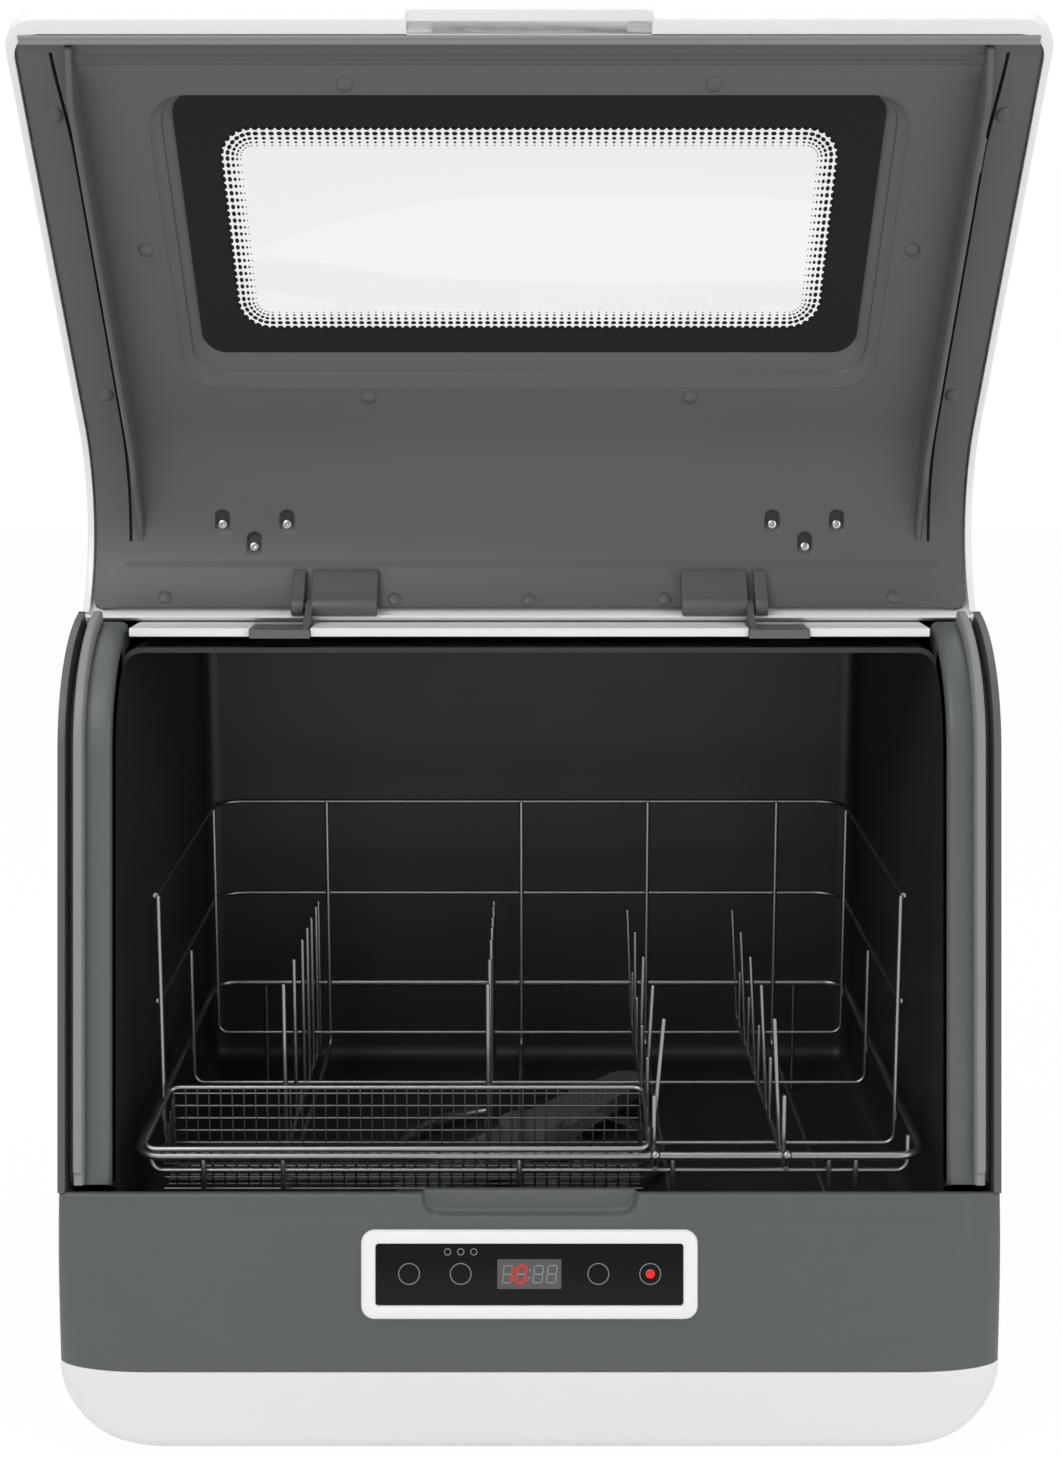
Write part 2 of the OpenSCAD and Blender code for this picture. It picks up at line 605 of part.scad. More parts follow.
module main_board() {
    color("seagreen") place() translate(board_at) {
        cube([110, board_t, 74]);
        translate([8, board_t, 8]) cube([28, 20, 24]);
        translate([44, board_t, 10]) cube([16, 15, 20]);
        for (i = [0:3]) translate([70 + i * 10, board_t, 14]) rotate([-90, 0, 0]) cylinder(r = 4, h = 16);
        for (i = [0:3]) translate([10 + i * 22, board_t, 52]) cube([16, 12, 12]);
    }
}

// ---- sump, filters and spray arm ----------------------------------------------------
sump_r = 44;
sump_wall = 2.6;
sump_bottom = tub_floor_h - 34;
module sump() {
    color("#3a3c3d") place() translate([0, arm_y, 0]) difference() {
        union() {
            translate([0, 0, sump_bottom]) cylinder(r = sump_r + sump_wall,
                h = tub_floor_h - tub_wall - sump_bottom - 0.2);
            translate([0, 0, tub_floor_h - tub_wall - 3.2]) cylinder(r = sump_hole_r + 8, h = 3);
        }
        translate([0, 0, sump_bottom + sump_wall]) cylinder(r = sump_r, h = 60);
        translate([sump_r - 6, 0, pump_z]) rotate([0, 90, 0]) cylinder(r = 4.4, h = 20);
        translate([-sump_r + 6, drain_pump_y - arm_y, sump_bottom + 12]) rotate([0, -90, 0])
            cylinder(r = 6, h = 20);
    }
}
plate_t = 1.2;
filter_r = 27;
module filter_plate() {
    color("silver") place() translate([0, arm_y, tub_floor_h - plate_t]) difference() {
        cylinder(r = sump_hole_r - 0.4, h = plate_t);
        translate([0, 0, -1]) cylinder(r = filter_r + 0.4, h = 4);
        for (ring = [34, 39, 44], i = [0:17]) rotate(i * 20 + ring * 3) translate([ring, 0, -1])
            cylinder(r = 1.2, h = 4, $fn = 14);
    }
}
module filter_basket() {
    color("#8f9392") place() translate([0, arm_y, 0]) difference() {
        union() {
            translate([0, 0, sump_bottom + sump_wall + 0.5]) cylinder(r = filter_r - 2,
                h = tub_floor_h - sump_bottom - sump_wall);
            translate([0, 0, tub_floor_h + 0.3]) cylinder(r = filter_r + 2.5, h = 2);
            for (a = [0, 180]) rotate(a) translate([feed_r + 5, -1.2, tub_floor_h])
                cube([filter_r - feed_r - 7, 2.4, 6]);
        }
        translate([0, 0, sump_bottom + sump_wall + 2]) tube(filter_r - 4, feed_r + 3.5, 40);
        translate([0, 0, sump_bottom]) cylinder(r = feed_r + 1.5, h = 60);
        for (z = [10, 18, 26], i = [0:11]) rotate(i * 30)
            translate([filter_r - 6, -2.2, sump_bottom + z]) cube([8, 4.4, 4]);
    }
}
feed_top = tub_floor_h + 19.5;
module feed_pipe() {
    color("#4a4d4e") place() translate([0, arm_y, 0]) difference() {
        union() {
            translate([0, 0, sump_bottom + sump_wall]) cylinder(r = feed_r,
                h = feed_top - sump_bottom - sump_wall);
            translate([0, 0, tub_floor_h + 9]) cylinder(r = feed_r + 3, h = 1.5);
        }
        translate([0, 0, sump_bottom + sump_wall + 6]) cylinder(r = feed_r - 2.4, h = 80);
        translate([0, 0, pump_z]) rotate([0, 90, 0]) cylinder(r = 3, h = 30);
    }
}
arm_z = tub_floor_h + 11;
hub_r = 16;
arm_tip_r = 11;
arm_thick = 8;
module spray_arm() {
    color("#3c3f40") place() translate([0, arm_y, arm_z]) difference() {
        union() {
            cylinder(r = hub_r, h = 12);
            rotate(arm_turn) {
                linear_extrude(arm_thick) polygon([[-arm_reach + arm_tip_r, -arm_tip_r], [-20, -hub_r + 1],
                    [20, -hub_r + 1], [arm_reach - arm_tip_r, -arm_tip_r], [arm_reach - arm_tip_r,
                        arm_tip_r],
                    [20, hub_r - 1], [-20, hub_r - 1], [-arm_reach + arm_tip_r, arm_tip_r]]);
                for (s = [-1, 1]) translate([s * (arm_reach - arm_tip_r), 0, 0]) cylinder(r = arm_tip_r,
                    h = arm_thick);
            }
        }
        translate([0, 0, -1]) cylinder(r = feed_r + pin_gap, h = feed_top - arm_z + 1.2);
        rotate(arm_turn) for (s = [-1, 1], k = [0:3]) translate([s * (34 + k * 18),
            s * (k % 2 == 0 ? 4 : -4), 3])
            cylinder(r = 1.4, h = 20, $fn = 16);
    }
}

// ---- wash and drain pumps -----------------------------------------------------------
pump_z = sump_bottom + 8;
pump_x = sump_r + sump_wall + 1.4;
volute_r = 18;
volute_w = 22;
motor_r = 17;
shaft_r = 3;
module pump_housing(r, w) {
    difference() {
        union() {
            cylinder(r = r, h = w);
            translate([0, 0, -1]) cylinder(r = 8, h = 2);
        }
        translate([0, 0, 2]) cylinder(r = r - 2.2, h = w);
        translate([0, 0, -2]) cylinder(r = 6, h = 8);
    }
}
module impeller(r, w, vanes, shaft) {
    cylinder(r = r, h = 2);
    cylinder(r = 5, h = w);
    for (i = [0:vanes - 1]) rotate(i * 360 / vanes) translate([4, -0.8, 1]) cube([r - 5.5, 1.6, w - 1]);
    translate([0, 0, w - eps]) cylinder(r = shaft_r, h = shaft);
}
module motor(r, l) {
    difference() {
        union() {
            cylinder(r = r, h = l);
            translate([0, 0, l]) cylinder(r = 8, h = 3);
            for (a = [45:90:315]) rotate(a) translate([r - 1, -3, 4]) cube([3, 6, l - 8]);
        }
        translate([0, 0, -1]) cylinder(r = shaft_r + pin_gap, h = 13);
    }
}
module wash_pump_place(x) { place() translate([pump_x + x, arm_y, pump_z]) rotate([0, 90, 0]) children(); }
module wash_pump_housing() { color("#3a3c3d") wash_pump_place(0) pump_housing(volute_r, volute_w); }
module wash_pump_motor() { color("gray") wash_pump_place(volute_w + 0.1) motor(motor_r, 52); }
module wash_impeller() { color("ivory") wash_pump_place(6.5) impeller(volute_r - 4, 11, 6, 12); }
drain_pump_y = arm_y - 17;
drain_pump_z = sump_bottom + 12;
drain_body_r = 16;
module drain_pump_place(x) {
    place() translate([-sump_r - sump_wall - 5 - x, drain_pump_y, drain_pump_z]) rotate([0, -90, 0])
        children();
}
module drain_pump_housing() { color("#3a3c3d") drain_pump_place(0) difference() {
    pump_housing(drain_body_r, 18);
    translate([0, 0, 11]) rotate([-90, 0, 0]) cylinder(r = 5, h = 40);
} }
module drain_pump_motor() { color("gray") drain_pump_place(18.1) motor(14, 34); }
module drain_impeller() { color("ivory") drain_pump_place(6.5) impeller(drain_body_r - 4, 8, 4, 12); }
hose_r = 7;
hose_bore_r = 5;
drain_out = [-sump_r - sump_wall - 5 - 11, drain_pump_y + drain_body_r, drain_pump_z];
drain_in_y = body_d - wall - 9;
hose_straight = 60;
hose_last = 84;
hose_path = bend([drain_out + [0, 0.4, 0], drain_out + [0, hose_straight, 0],
    [drain_at[0], drain_in_y - hose_last, drain_at[1]], [drain_at[0], drain_in_y - 0.4, drain_at[1]]], 26,
        5);
module drain_hose() {
    color("#4a4a4a") place() difference() {
        sweep(hose_path, hose_r, 12);
        sweep([for (i = [0:len(hose_path) - 1]) hose_path[i] + [0,
            i == 0 ? -1 : i == len(hose_path) - 1 ? 1 : 0, 0]],
            hose_bore_r, 12);
    }
}
module drain_outlet() {
    color("#3a3c3d") place() translate([drain_at[0], drain_in_y, drain_at[1]]) rotate([-90, 0, 0])
        difference() {
        union() {
            cylinder(r = drain_r, h = rear_reach - drain_in_y);
            cylinder(r = drain_r + collar_t, h = body_d - drain_in_y);
            translate([0, 0, 2]) cylinder(r = drain_r + 4, h = body_d - wall - drain_in_y - 2 - fit_gap);
        }
        translate([0, 0, -1]) cylinder(r = drain_r - 2.5, h = 80);
    }
}
valve_in_y = body_d - wall - 30;
inlet_reach = 14;
module inlet_valve() {
    color("#3a3c3d") place() translate([inlet_at[0], valve_in_y, inlet_at[1]]) rotate([-90, 0, 0])
        difference() {
        union() {
            cylinder(r = inlet_r - 3, h = body_d + inlet_reach - valve_in_y);
            translate([0, 0, 12]) cylinder(r = inlet_r, h = body_d + inlet_reach - valve_in_y - 12);
            translate([0, 0, 12]) cylinder(r = inlet_r + collar_t, h = body_d - valve_in_y - 12);
            translate([0, 0, body_d - wall - valve_in_y - 2.2]) cylinder(r = inlet_r + 4, h = 2);
            translate([-14, -42, 2]) cube([28, 34, 22]);
        }
        translate([0, 0, 8]) cylinder(r = 8, h = 80);
    }
}

// ---- water tank, fan, power ---------------------------------------------------------
tank_x0 = -half_w + 70;
tank_x1 = half_w - 150;
tank_y0 = tub_back_y + tub_wall + 2;
tank_y1 = body_d - wall - 7;
tank_z0 = front_h + 2;
tank_z1 = side_h - 30;
tank_t = 2;
module water_tank() {
    color("lightgray", 0.6) place() difference() {
        union() {
            translate([tank_x0, tank_y0, tank_z0]) cube([tank_x1 - tank_x0, tank_y1 - tank_y0,
                tank_z1 - tank_z0]);
            translate([cap_at[0], cap_at[1], tank_z1 - 1]) cylinder(r = cap_neck_r,
                h = cover_top + 1 - tank_z1 + 1);
        }
        translate([tank_x0 + tank_t, tank_y0 + tank_t, tank_z0 + tank_t])
            cube([tank_x1 - tank_x0 - 2 * tank_t, tank_y1 - tank_y0 - 2 * tank_t,
                tank_z1 - tank_z0 - 2 * tank_t]);
        translate([cap_at[0], cap_at[1], tank_z1 - 10]) cylinder(r = cap_neck_r - tank_t, h = 80);
    }
}
module fill_cap() {
    color("whitesmoke") place() translate([cap_at[0], cap_at[1], cover_top + 1.2]) {
        difference() {
            cylinder(r = cap_r, h = 4);
            translate([-9, 4, 2]) cube([18, 4, 3]);
            translate([-9, -8, 2]) cube([18, 4, 3]);
        }
        translate([0, 0, -12]) tube(cap_neck_r - tank_t - 0.3, cap_neck_r - tank_t - 2, 12 + eps);
    }
}
fan_depth = 22;
fan_y = body_d - wall - 5 - fan_depth;
fan_size = 2 * fan_r + 10;
module fan_housing() {
    color("#3a3c3d") place() translate([fan_at[0], fan_y, fan_at[1]]) rotate([-90, 0, 0]) {
        difference() {
            translate([-fan_size / 2, -fan_size / 2, 0]) cube([fan_size, fan_size, fan_depth]);
            translate([0, 0, -1]) cylinder(r = fan_r + 1.5, h = fan_depth + 2);
        }
        difference() {
            union() {
                for (a = [0:120:240]) rotate(a) translate([0, -2, 0]) cube([fan_r + 3, 4, 2.5]);
                cylinder(r = 12, h = 4);
            }
            translate([0, 0, -1]) cylinder(r = shaft_r + pin_gap, h = 8);
        }
    }
}
module fan_wheel() {
    color("#2f3132") place() translate([fan_at[0], fan_y, fan_at[1]]) rotate([-90, 0, 0]) {
        translate([0, 0, 0.2]) cylinder(r = shaft_r, h = 6);
        translate([0, 0, 4.6]) cylinder(r = 13, h = 13);
        for (i = [0:fan_blades - 1]) rotate(i * 360 / fan_blades) translate([11, 0, 11]) rotate([32, 0, 0])
            translate([0, -8, -0.7]) cube([fan_r - 11.5, 16, 1.4]);
    }
}
module power_inlet() {
    color("#1f1f1f") place() translate([power_at[0], body_d - 24, power_at[1]]) difference() {
        union() {
            translate([-power_size[0] / 2, 0, -power_size[1] / 2]) cube([power_size[0], 25, power_size[1]]);
            translate([-power_size[0] / 2 - 4, 24.2, -power_size[1] / 2 - 4]) cube([power_size[0] + 8,
                2.4, power_size[1] + 8]);
        }
        translate([-12, 10, -8]) cube([24, 20, 16]);
    }
    color("silver") place() for (p = [[-7, 1], [7, 1], [0, -4]])
        translate([power_at[0] + p[0] - 1, body_d - 16, power_at[1] + p[1] - 2]) cube([2, 14, 4]);
}

// ---- hinges -------------------------------------------------------------------------
bracket_shift = 11.5;
bracket_t = 2.2;
washer_t = 0.5;
barrel_in = 9;
barrel_out = 4;
knuckle_from = hinge_x - arm_t / 2 - washer_t - 0.15;
knuckle_to = hinge_x + arm_t / 2 + washer_t + 0.15;
module bracket_half_piece() {
    z0 = trough_z - lip_drop;
    difference() {
        union() {
            translate([hinge_x + bracket_shift - bracket_half + fit_gap, lip_y - 1.5, z0 - 0.6])
                cube([2 * (bracket_half - fit_gap), 22.3, lip_drop]);
            slab(hinge_x - arm_t / 2, hinge_x + arm_t / 2) polygon(concat(
                [[lip_y, z0], [lip_y - 0.5, z0 + 4], [lip_y + 6, hinge[1] - 5]],
                arc(hinge[0], hinge[1], barrel_r, 110, -60, 9), [[lip_y + 19, z0]]));
        }
        translate([0, hinge[0], hinge[1]]) rotate([0, 90, 0]) cylinder(r = pin_r + 0.01, h = 300);
    }
}
module hinge_brackets() { color("#74787a") place() both_sides() bracket_half_piece(); }
module hinge_pins() {
    color("silver") place() both_sides() translate([knuckle_from - barrel_in - 2, hinge[0], hinge[1]])
        rotate([0, 90, 0])
        cylinder(r = pin_r, h = knuckle_to - knuckle_from + barrel_in + barrel_out + 3);
}
module friction_washers() {
    color("goldenrod") place() both_sides() for (x = [hinge_x - arm_t / 2 - washer_t - 0.05,
        hinge_x + arm_t / 2 + 0.05])
        translate([x, hinge[0], hinge[1]]) rotate([0, 90, 0]) tube(barrel_r - 0.6, pin_r + 0.03, washer_t);
}

// ---- lid ----------------------------------------------------------------------------
inner_s = 2;
inner_t = 2.2;
glass_mid = glass_from + glass_h / 2;
glass_s = lid_depth - lid_skin - glass_t - 0.1;
glass_border = 9;
slot_half = 2.6;
roll_t = 1.4;
flange_to = 4;
flange_t = 1.8;
module lid_frame() { place() lid_pose() children(); }
module back_roll(r0, r1) {
    a = 90 + hinge_tilt;
    polygon(concat(arc(hinge[0], hinge[1], r1, a + 0.5, 0, 10), arc(hinge[0], hinge[1], r0, 0, a + 0.5,
        10)));
}
module corner_cut() {
    both_sides() at_rim(-lid_overhang, -5) translate([half_w - lid_corner_r, lid_corner_r, 0])
        difference() {
        translate([0, -lid_corner_r - 5, 0]) cube([lid_corner_r + 5, lid_corner_r + 5, 40]);
        translate([0, 0, -1]) cylinder(r = lid_corner_r, h = 50);
    }
}
module hinge_slots() {
    both_sides() slab(hinge_x - slot_half, hinge_x + slot_half)
        translate([hinge[0], hinge[1]]) square([60, 60], center = true);
}
module lid_shell() {
    color("whitesmoke") lid_frame() difference() {
        union() {
            slab(-half_w, half_w) polygon(lid_strip(-lid_overhang, rim_len, lid_skin, 0));
            slab(-half_w, half_w) back_roll(lid_root - roll_t, lid_root);
            both_sides() slab(half_w - wall, half_w) {
                polygon(lid_strip(-lid_overhang, rim_len - 1, undef, 0.5));
                intersection() {
                    translate(hinge) circle(r = lid_root);
                    translate([hinge[0] - 2, hinge[1] + rim_gap]) square(30);
                }
            }
            // free edge: its end wall, the flange turned in behind it and the finger lip
            slab(-half_w, half_w) polygon([rim_pt(-lid_overhang, rim_gap), rim_pt(-lid_overhang,
                lid_depth - 1),
                rim_pt(-lid_overhang + wall, lid_depth - 1), rim_pt(-lid_overhang + wall,
                    rim_gap + flange_t),
                rim_pt(flange_to, rim_gap + flange_t), rim_pt(flange_to, rim_gap)]);
            at_rim(-lid_overhang, rim_gap) difference() {
                translate([-lip_w / 2, -lip_reach, 0]) cube([lip_w, lip_reach + 1, 4]);
                for (x = [-1, 1]) translate([x * lip_w / 2, -lip_reach, -1]) rotate(45) cube([4, 4, 12],
                    center = true);
            }
        }
        corner_cut();
        at_rim(glass_mid, 0) rounded_plate(glass_w - 2 * glass_border, glass_h - 2 * glass_border, 10, 40);
        both_sides() slab(hinge_x - slot_half, hinge_x + slot_half)
            translate([hinge[0] - 4, hinge[1] - 8]) square([30, 17]);
    }
}
panel_side = half_w - wall - 0.3;
panel_end = rim_len - 14;
rib_t = 2.2;
// The ribs run just inside the tub's sides when the lid is shut
rib_in = tub_half_w - 2.2 - rib_t;
rib_depth = 14;
rib_from = 10;
rib_to = 250;
module window_cut(grow, r, t) { at_rim(glass_mid + 3, -1) rounded_plate(glass_w + 2 * grow,
    glass_h + 6 + grow, r, t); }
module lid_inner_panel() {
    color("#555759") lid_frame() difference() {
        union() {
            slab(-panel_side, panel_side) polygon(strip(flange_to + fit_gap, panel_end, inner_s,
                inner_s + inner_t));
            // walls of the sunk window frame, down to the glass
            difference() {
                at_rim(glass_mid + 3, inner_s + 0.6) rounded_plate(glass_w + 2 * bezel_w,
                    glass_h + 6 + bezel_w, 14, glass_s - inner_s - 0.7);
                at_rim(glass_mid + 3, inner_s - 1) rounded_plate(glass_w - 4, glass_h - 2, 10, 20);
            }
            both_sides() slab(rib_in, rib_in + rib_t) polygon(concat(
                [for (t = rim_stations(rib_from, rib_to)) rim_pt(t, inner_s + 0.5)],
                [for (i = [len(rim_stations(rib_from, rib_to)) - 1:-1:0])
                    let(t = rim_stations(rib_from, rib_to)[i], taper = min(1, (rib_to - t) / 30,
                        (t - rib_from) / 20 + 0.3))
                    rim_pt(t, inner_s - (rib_depth + inner_s) * taper)]));
        }
        at_rim(glass_mid + 3, -2) rounded_plate(glass_w + 8, glass_h + 8, 12, inner_s + 3.4);
        at_rim(glass_mid, -2) rounded_plate(glass_w - 3, glass_h - 3, 10, 40);
        corner_cut();
        for (p = lid_screws) at_rim(p[1], inner_s - 1) translate([p[0], 0, 0]) cylinder(r = 1.7,
            h = inner_t + 2);
    }
}
module window_glass() {
    color("#20252a", 0.5) lid_frame() at_rim(glass_mid, glass_s) rounded_plate(glass_w, glass_h, 8,
        glass_t);
}
module lid_seal() {
    color("#8f9392") lid_frame() slab(-panel_side + 1.6, panel_side - 1.6)
        polygon(strip(lid_seal_from, lid_seal_to, 0.35, inner_s));
}
// Screws of the hinge arms, as [X from the hinge's middle, distance along the rim before its end]
arm_screws = [[42, 41.3], [11, 41.3], [27, 32.3]];
lid_screws = [for (s = [-1, 1], p = arm_screws) [s * (hinge_x + p[0]), rim_len - p[1]]];
module hinge_screws() {
    color("silver") lid_frame() for (p = lid_screws) at_rim(p[1], inner_s - 1.4) translate([p[0], 0, 0])
        difference() {
        union() {
            cylinder(r = 2.6, h = 1.3);
            cylinder(r = 1.5, h = 4.6);
        }
        for (a = [45, 135]) rotate(a) translate([-1.6, -0.3, -1]) cube([3.2, 0.6, 1.6]);
    }
}
strap_s = inner_s + inner_t + 0.1;
strap_t = 1.1;
module lid_hinge_arms() {
    color("#9a9d9f") lid_frame() both_sides() difference() {
        union() {
            for (x = [knuckle_from - barrel_in, knuckle_to]) translate([x, hinge[0], hinge[1]]) rotate([0,
                90, 0])
                cylinder(r = barrel_r, h = x < hinge_x ? barrel_in : barrel_out);
            for (x = [[knuckle_from - barrel_in, knuckle_from], [knuckle_to, knuckle_to + barrel_out]])
                slab(x[0], x[1]) polygon([rim_pt(rim_len - 20.5, strap_s), rim_pt(rim_len - 20.5,
                    strap_s + strap_t),
                    rim_pt(rim_len - 11, 4.3), rim_pt(rim_len, barrel_r - 0.1), rim_pt(rim_len, 0),
                        rim_pt(rim_len - 9, 2.4),
                    rim_pt(rim_len - 13.4, strap_s)]);
            slab(knuckle_from - barrel_in, hinge_x + 47)
                polygon(strip(rim_len - 50.3, rim_len - 20, strap_s, strap_s + strap_t));
        }
        translate([0, hinge[0], hinge[1]]) rotate([0, 90, 0]) cylinder(r = pin_r + pin_gap, h = 300);
        for (p = lid_screws) if (p[0] > 0) at_rim(p[1], inner_s + inner_t - 1) translate([p[0], 0, 0])
            cylinder(r = 1.6, h = 4);
    }
}
cover_x0 = hinge_x - 32;
cover_x1 = hinge_x + 9;
hinge_cover_r = lid_root - 0.1;
module hinge_covers() {
    color("#63676a") lid_frame() both_sides() difference() {
        slab(cover_x0, cover_x1) difference() {
            polygon(concat([for (back = [26, 18, 9, 0]) rim_pt(rim_len - back, inner_s - 0.1)],
                arc(hinge[0], hinge[1], hinge_cover_r, -8, -90, 8), [[lip_y + 5, hinge[1]
                    - hinge_cover_r]]));
            translate(hinge) circle(r = barrel_r + 0.4);
        }
        slab(hinge_x - slot_half, hinge_x + slot_half) translate([hinge[0], hinge[1]]) square([70, 60],
            center = true);
        slab(knuckle_from - barrel_in - 3, knuckle_to + barrel_out + 0.4) translate([hinge[0] - 9,
            hinge[1] - 1]) square([30, 30]);
    }
}
// Round plugs that close the mould's pin holes, as [X, distance along the rim]
rib_out = rib_in + rib_t;
side_plugs = [[rib_out + 8.2, 40], [76, 14], [rib_in - 17.6, 105], [73, 181], [rib_out + 6.2, 178],
    [62, rim_len - 16.3], [rib_in - 12.6, rim_len - 16.3]];
plug_places = concat([for (s = [-1, 1], p = side_plugs) [s * p[0], p[1]]], [[0, rim_len - 16.3]]);
plug_r = 3.4;
module lid_plugs() {
    color("#63676a") lid_frame() for (p = plug_places) at_rim(p[1], inner_s - 1)
        translate([p[0], 0, 0]) cylinder(r = plug_r, h = 1);
}
// The magnet in the lid and the switch beside the tub meet at one place along the rim
sensor_t = 60;
module lid_magnet() {
    color("silver") lid_frame() at_rim(sensor_t, inner_s + inner_t + 0.1)
        translate([rib_out + 2, -8, 0]) cube([6, 16, 3]);
}
module reed_switch() {
    color("black") place() at_rim(sensor_t, frame_s - frame_t - 8)
        translate([tub_half_w + tub_wall + 4.6, -10, 0]) cube([8, 20, 7.6]);
}

// ---- wire rack ----------------------------------------------------------------------
steel = "silver";
rack_r = 16;
rail_corner_r = 12;
rack_half_w = tub_half_w - rack_side_gap;
rack_back_y = tub_back_y - rack_back_gap;
rear_y = rack_back_y - 2;
// The lowest wires clear the spray arm that turns under them
low_wire_z = tub_floor_h + 26;
floor_wire_z = low_wire_z + 14;
cross_half_w = rack_half_w - 7;
rack_foot_x = rack_half_w - 31;
// The rail and the rings all rise a little towards the back
rail_rise = 15;
top_rise = 6.7;
mid_rise = 5.5;
side_bend_r = 5;
ring_front_y = rack_front_y + 8.5 + basket_d;
// Cross wires as [Y, height of the left upright end, height of the right one]
cross_wires = [[rack_front_y + 3, 12, 19], [ring_front_y, top_ring_h - top_rise, top_ring_h - top_rise],
    [rack_back_y - 103, 72, 72], [rack_back_y - 19, top_ring_h - 1.2, top_ring_h - 1.2]];
// Lengthwise wires that turn up the back
long_wire_x = [-rack_half_w + 67, -rack_half_w + 174.3, rack_half_w - 114, rack_half_w - 43];
// A bay seen from above, open to the front, that rises from zf to zr and may narrow to hr
function corners(hw, hr, yf, yr, zf, zr) = [[-hw, yf, zf], [-hr, yr, zr], [hr, yr, zr], [hw, yf, zf]];
module rack_rings() {
    color(steel) place() {
        // the thick rail all round
        sweep(bend_loop(corners(rack_half_w, rack_half_w - 3, rack_front_y, rack_back_y, front_h + rail_h,
            front_h + rail_h + rail_rise), rail_corner_r, 4), rail_r, closed = true);
        for (ring = [[top_ring_h, top_rise], [mid_ring_h, mid_rise]])
            sweep(bend(corners(cross_half_w + 1, cross_half_w + 1, ring_front_y, rear_y + 1,
                front_h + ring[0] - ring[1], front_h + ring[0]), rack_r, 4), wire_r);
    }
}
module rack_cross_wires() {
    color(steel) place() for (w = cross_wires) sweep(bend([[-cross_half_w, w[0], front_h + w[1]],
        [-cross_half_w, w[0], floor_wire_z], [cross_half_w, w[0], floor_wire_z],
        [cross_half_w, w[0], front_h + w[2]]], side_bend_r, 3), wire_r);
}
module rack_long_wires() {
    color(steel) place() {
        for (x = long_wire_x) sweep(bend([[x, rack_front_y + 1, front_h + rail_h], [x, rack_front_y + 1,
            low_wire_z],
            [x, rear_y - 1, low_wire_z], [x, rear_y - 1, front_h + top_ring_h]], 6, 3), wire_r);
        for (x = [-rack_foot_x, rack_foot_x], leg = [[rack_front_y, 0], [rack_back_y, rail_rise]])
            rod([x, leg[0], tub_floor_h + 0.3], [x, leg[0], front_h + rail_h + leg[1]], wire_r);
    }
}
// Tines of the plate rows, as distances in front of the rail's back
tine_backs = [-1, 12, 36, 57, 81, 119, 163];
plate_bay_w = 61;
row_pitch = 98;
left_rows = [-rack_half_w + plate_bay_w, -rack_half_w + plate_bay_w + row_pitch];
row_front_y = ring_front_y + 12.5;
row_back_y = rack_back_y + 3;
module rack_tines_left() {
    color(steel) place() for (x = left_rows) {
        rod([x, row_front_y, low_wire_z], [x, row_back_y, low_wire_z], wire_r);
        for (back = tine_backs) let(y = rack_back_y - back) if (y > row_front_y + 4)
            rod([x, y, low_wire_z], [x, y, front_h + tine_h], tine_r);
        for (i = [2, 3]) let(y = cross_wires[i][0] + 0.6)
            rod([x, y, low_wire_z], [x, y, floor_wire_z + 0.5], tine_r);
    }
}
// Rows beside the basket, as [X, lean of the rearmost tall tine at its top, lean of the front one]
right_rows = [[rack_half_w - 122, -2.5, 5], [rack_half_w - 62.5, -3.5, -3.5]];
bowl_backs = [-1, 47, 96, 147, 202];
tall_tine_h = 67;
short_tine_h = 35;
tine_step = 14;
ball_r = 2.4;
module rack_tines_right() {
    color(steel) place() for (row = right_rows) let(x = row[0], z = floor_wire_z + 2 * wire_r - 0.3) {
        rod([x, rack_front_y - 1, z], [x, row_back_y, z], wire_r);
        rod([x, rack_front_y + 0.5, z], [x, rack_front_y - 2, front_h + rail_h + 1], tine_r);
        translate([x, rack_front_y - 2, front_h + rail_h + 1]) sphere(r = ball_r, $fn = 20);
        for (i = [0:4]) let(y = rack_back_y - bowl_backs[i]) if (y - tine_step > rack_front_y + 8) {
            rod([x, y, z], [x + row[1] + (row[2] - row[1]) * i / 4, y, front_h + tall_tine_h], tine_r);
            rod([x, y - tine_step, z], [x, y - tine_step, front_h + short_tine_h], tine_r);
        }
    }
}

// ---- cutlery basket -----------------------------------------------------------------
// It hangs by its front flange over the rack's thick front rail.
basket_x0 = -rack_half_w + 12;
basket_x1 = rack_half_w - bowl_side_w;
basket_w = basket_x1 - basket_x0;
basket_z = low_wire_z + 3;
basket_front_y = rack_front_y + 5.5;
basket_back_y = basket_front_y + basket_d;
flange_z = front_h + rail_h + rail_r + 0.8;
flange_d = 8;
basket_back_z = front_h + 30;
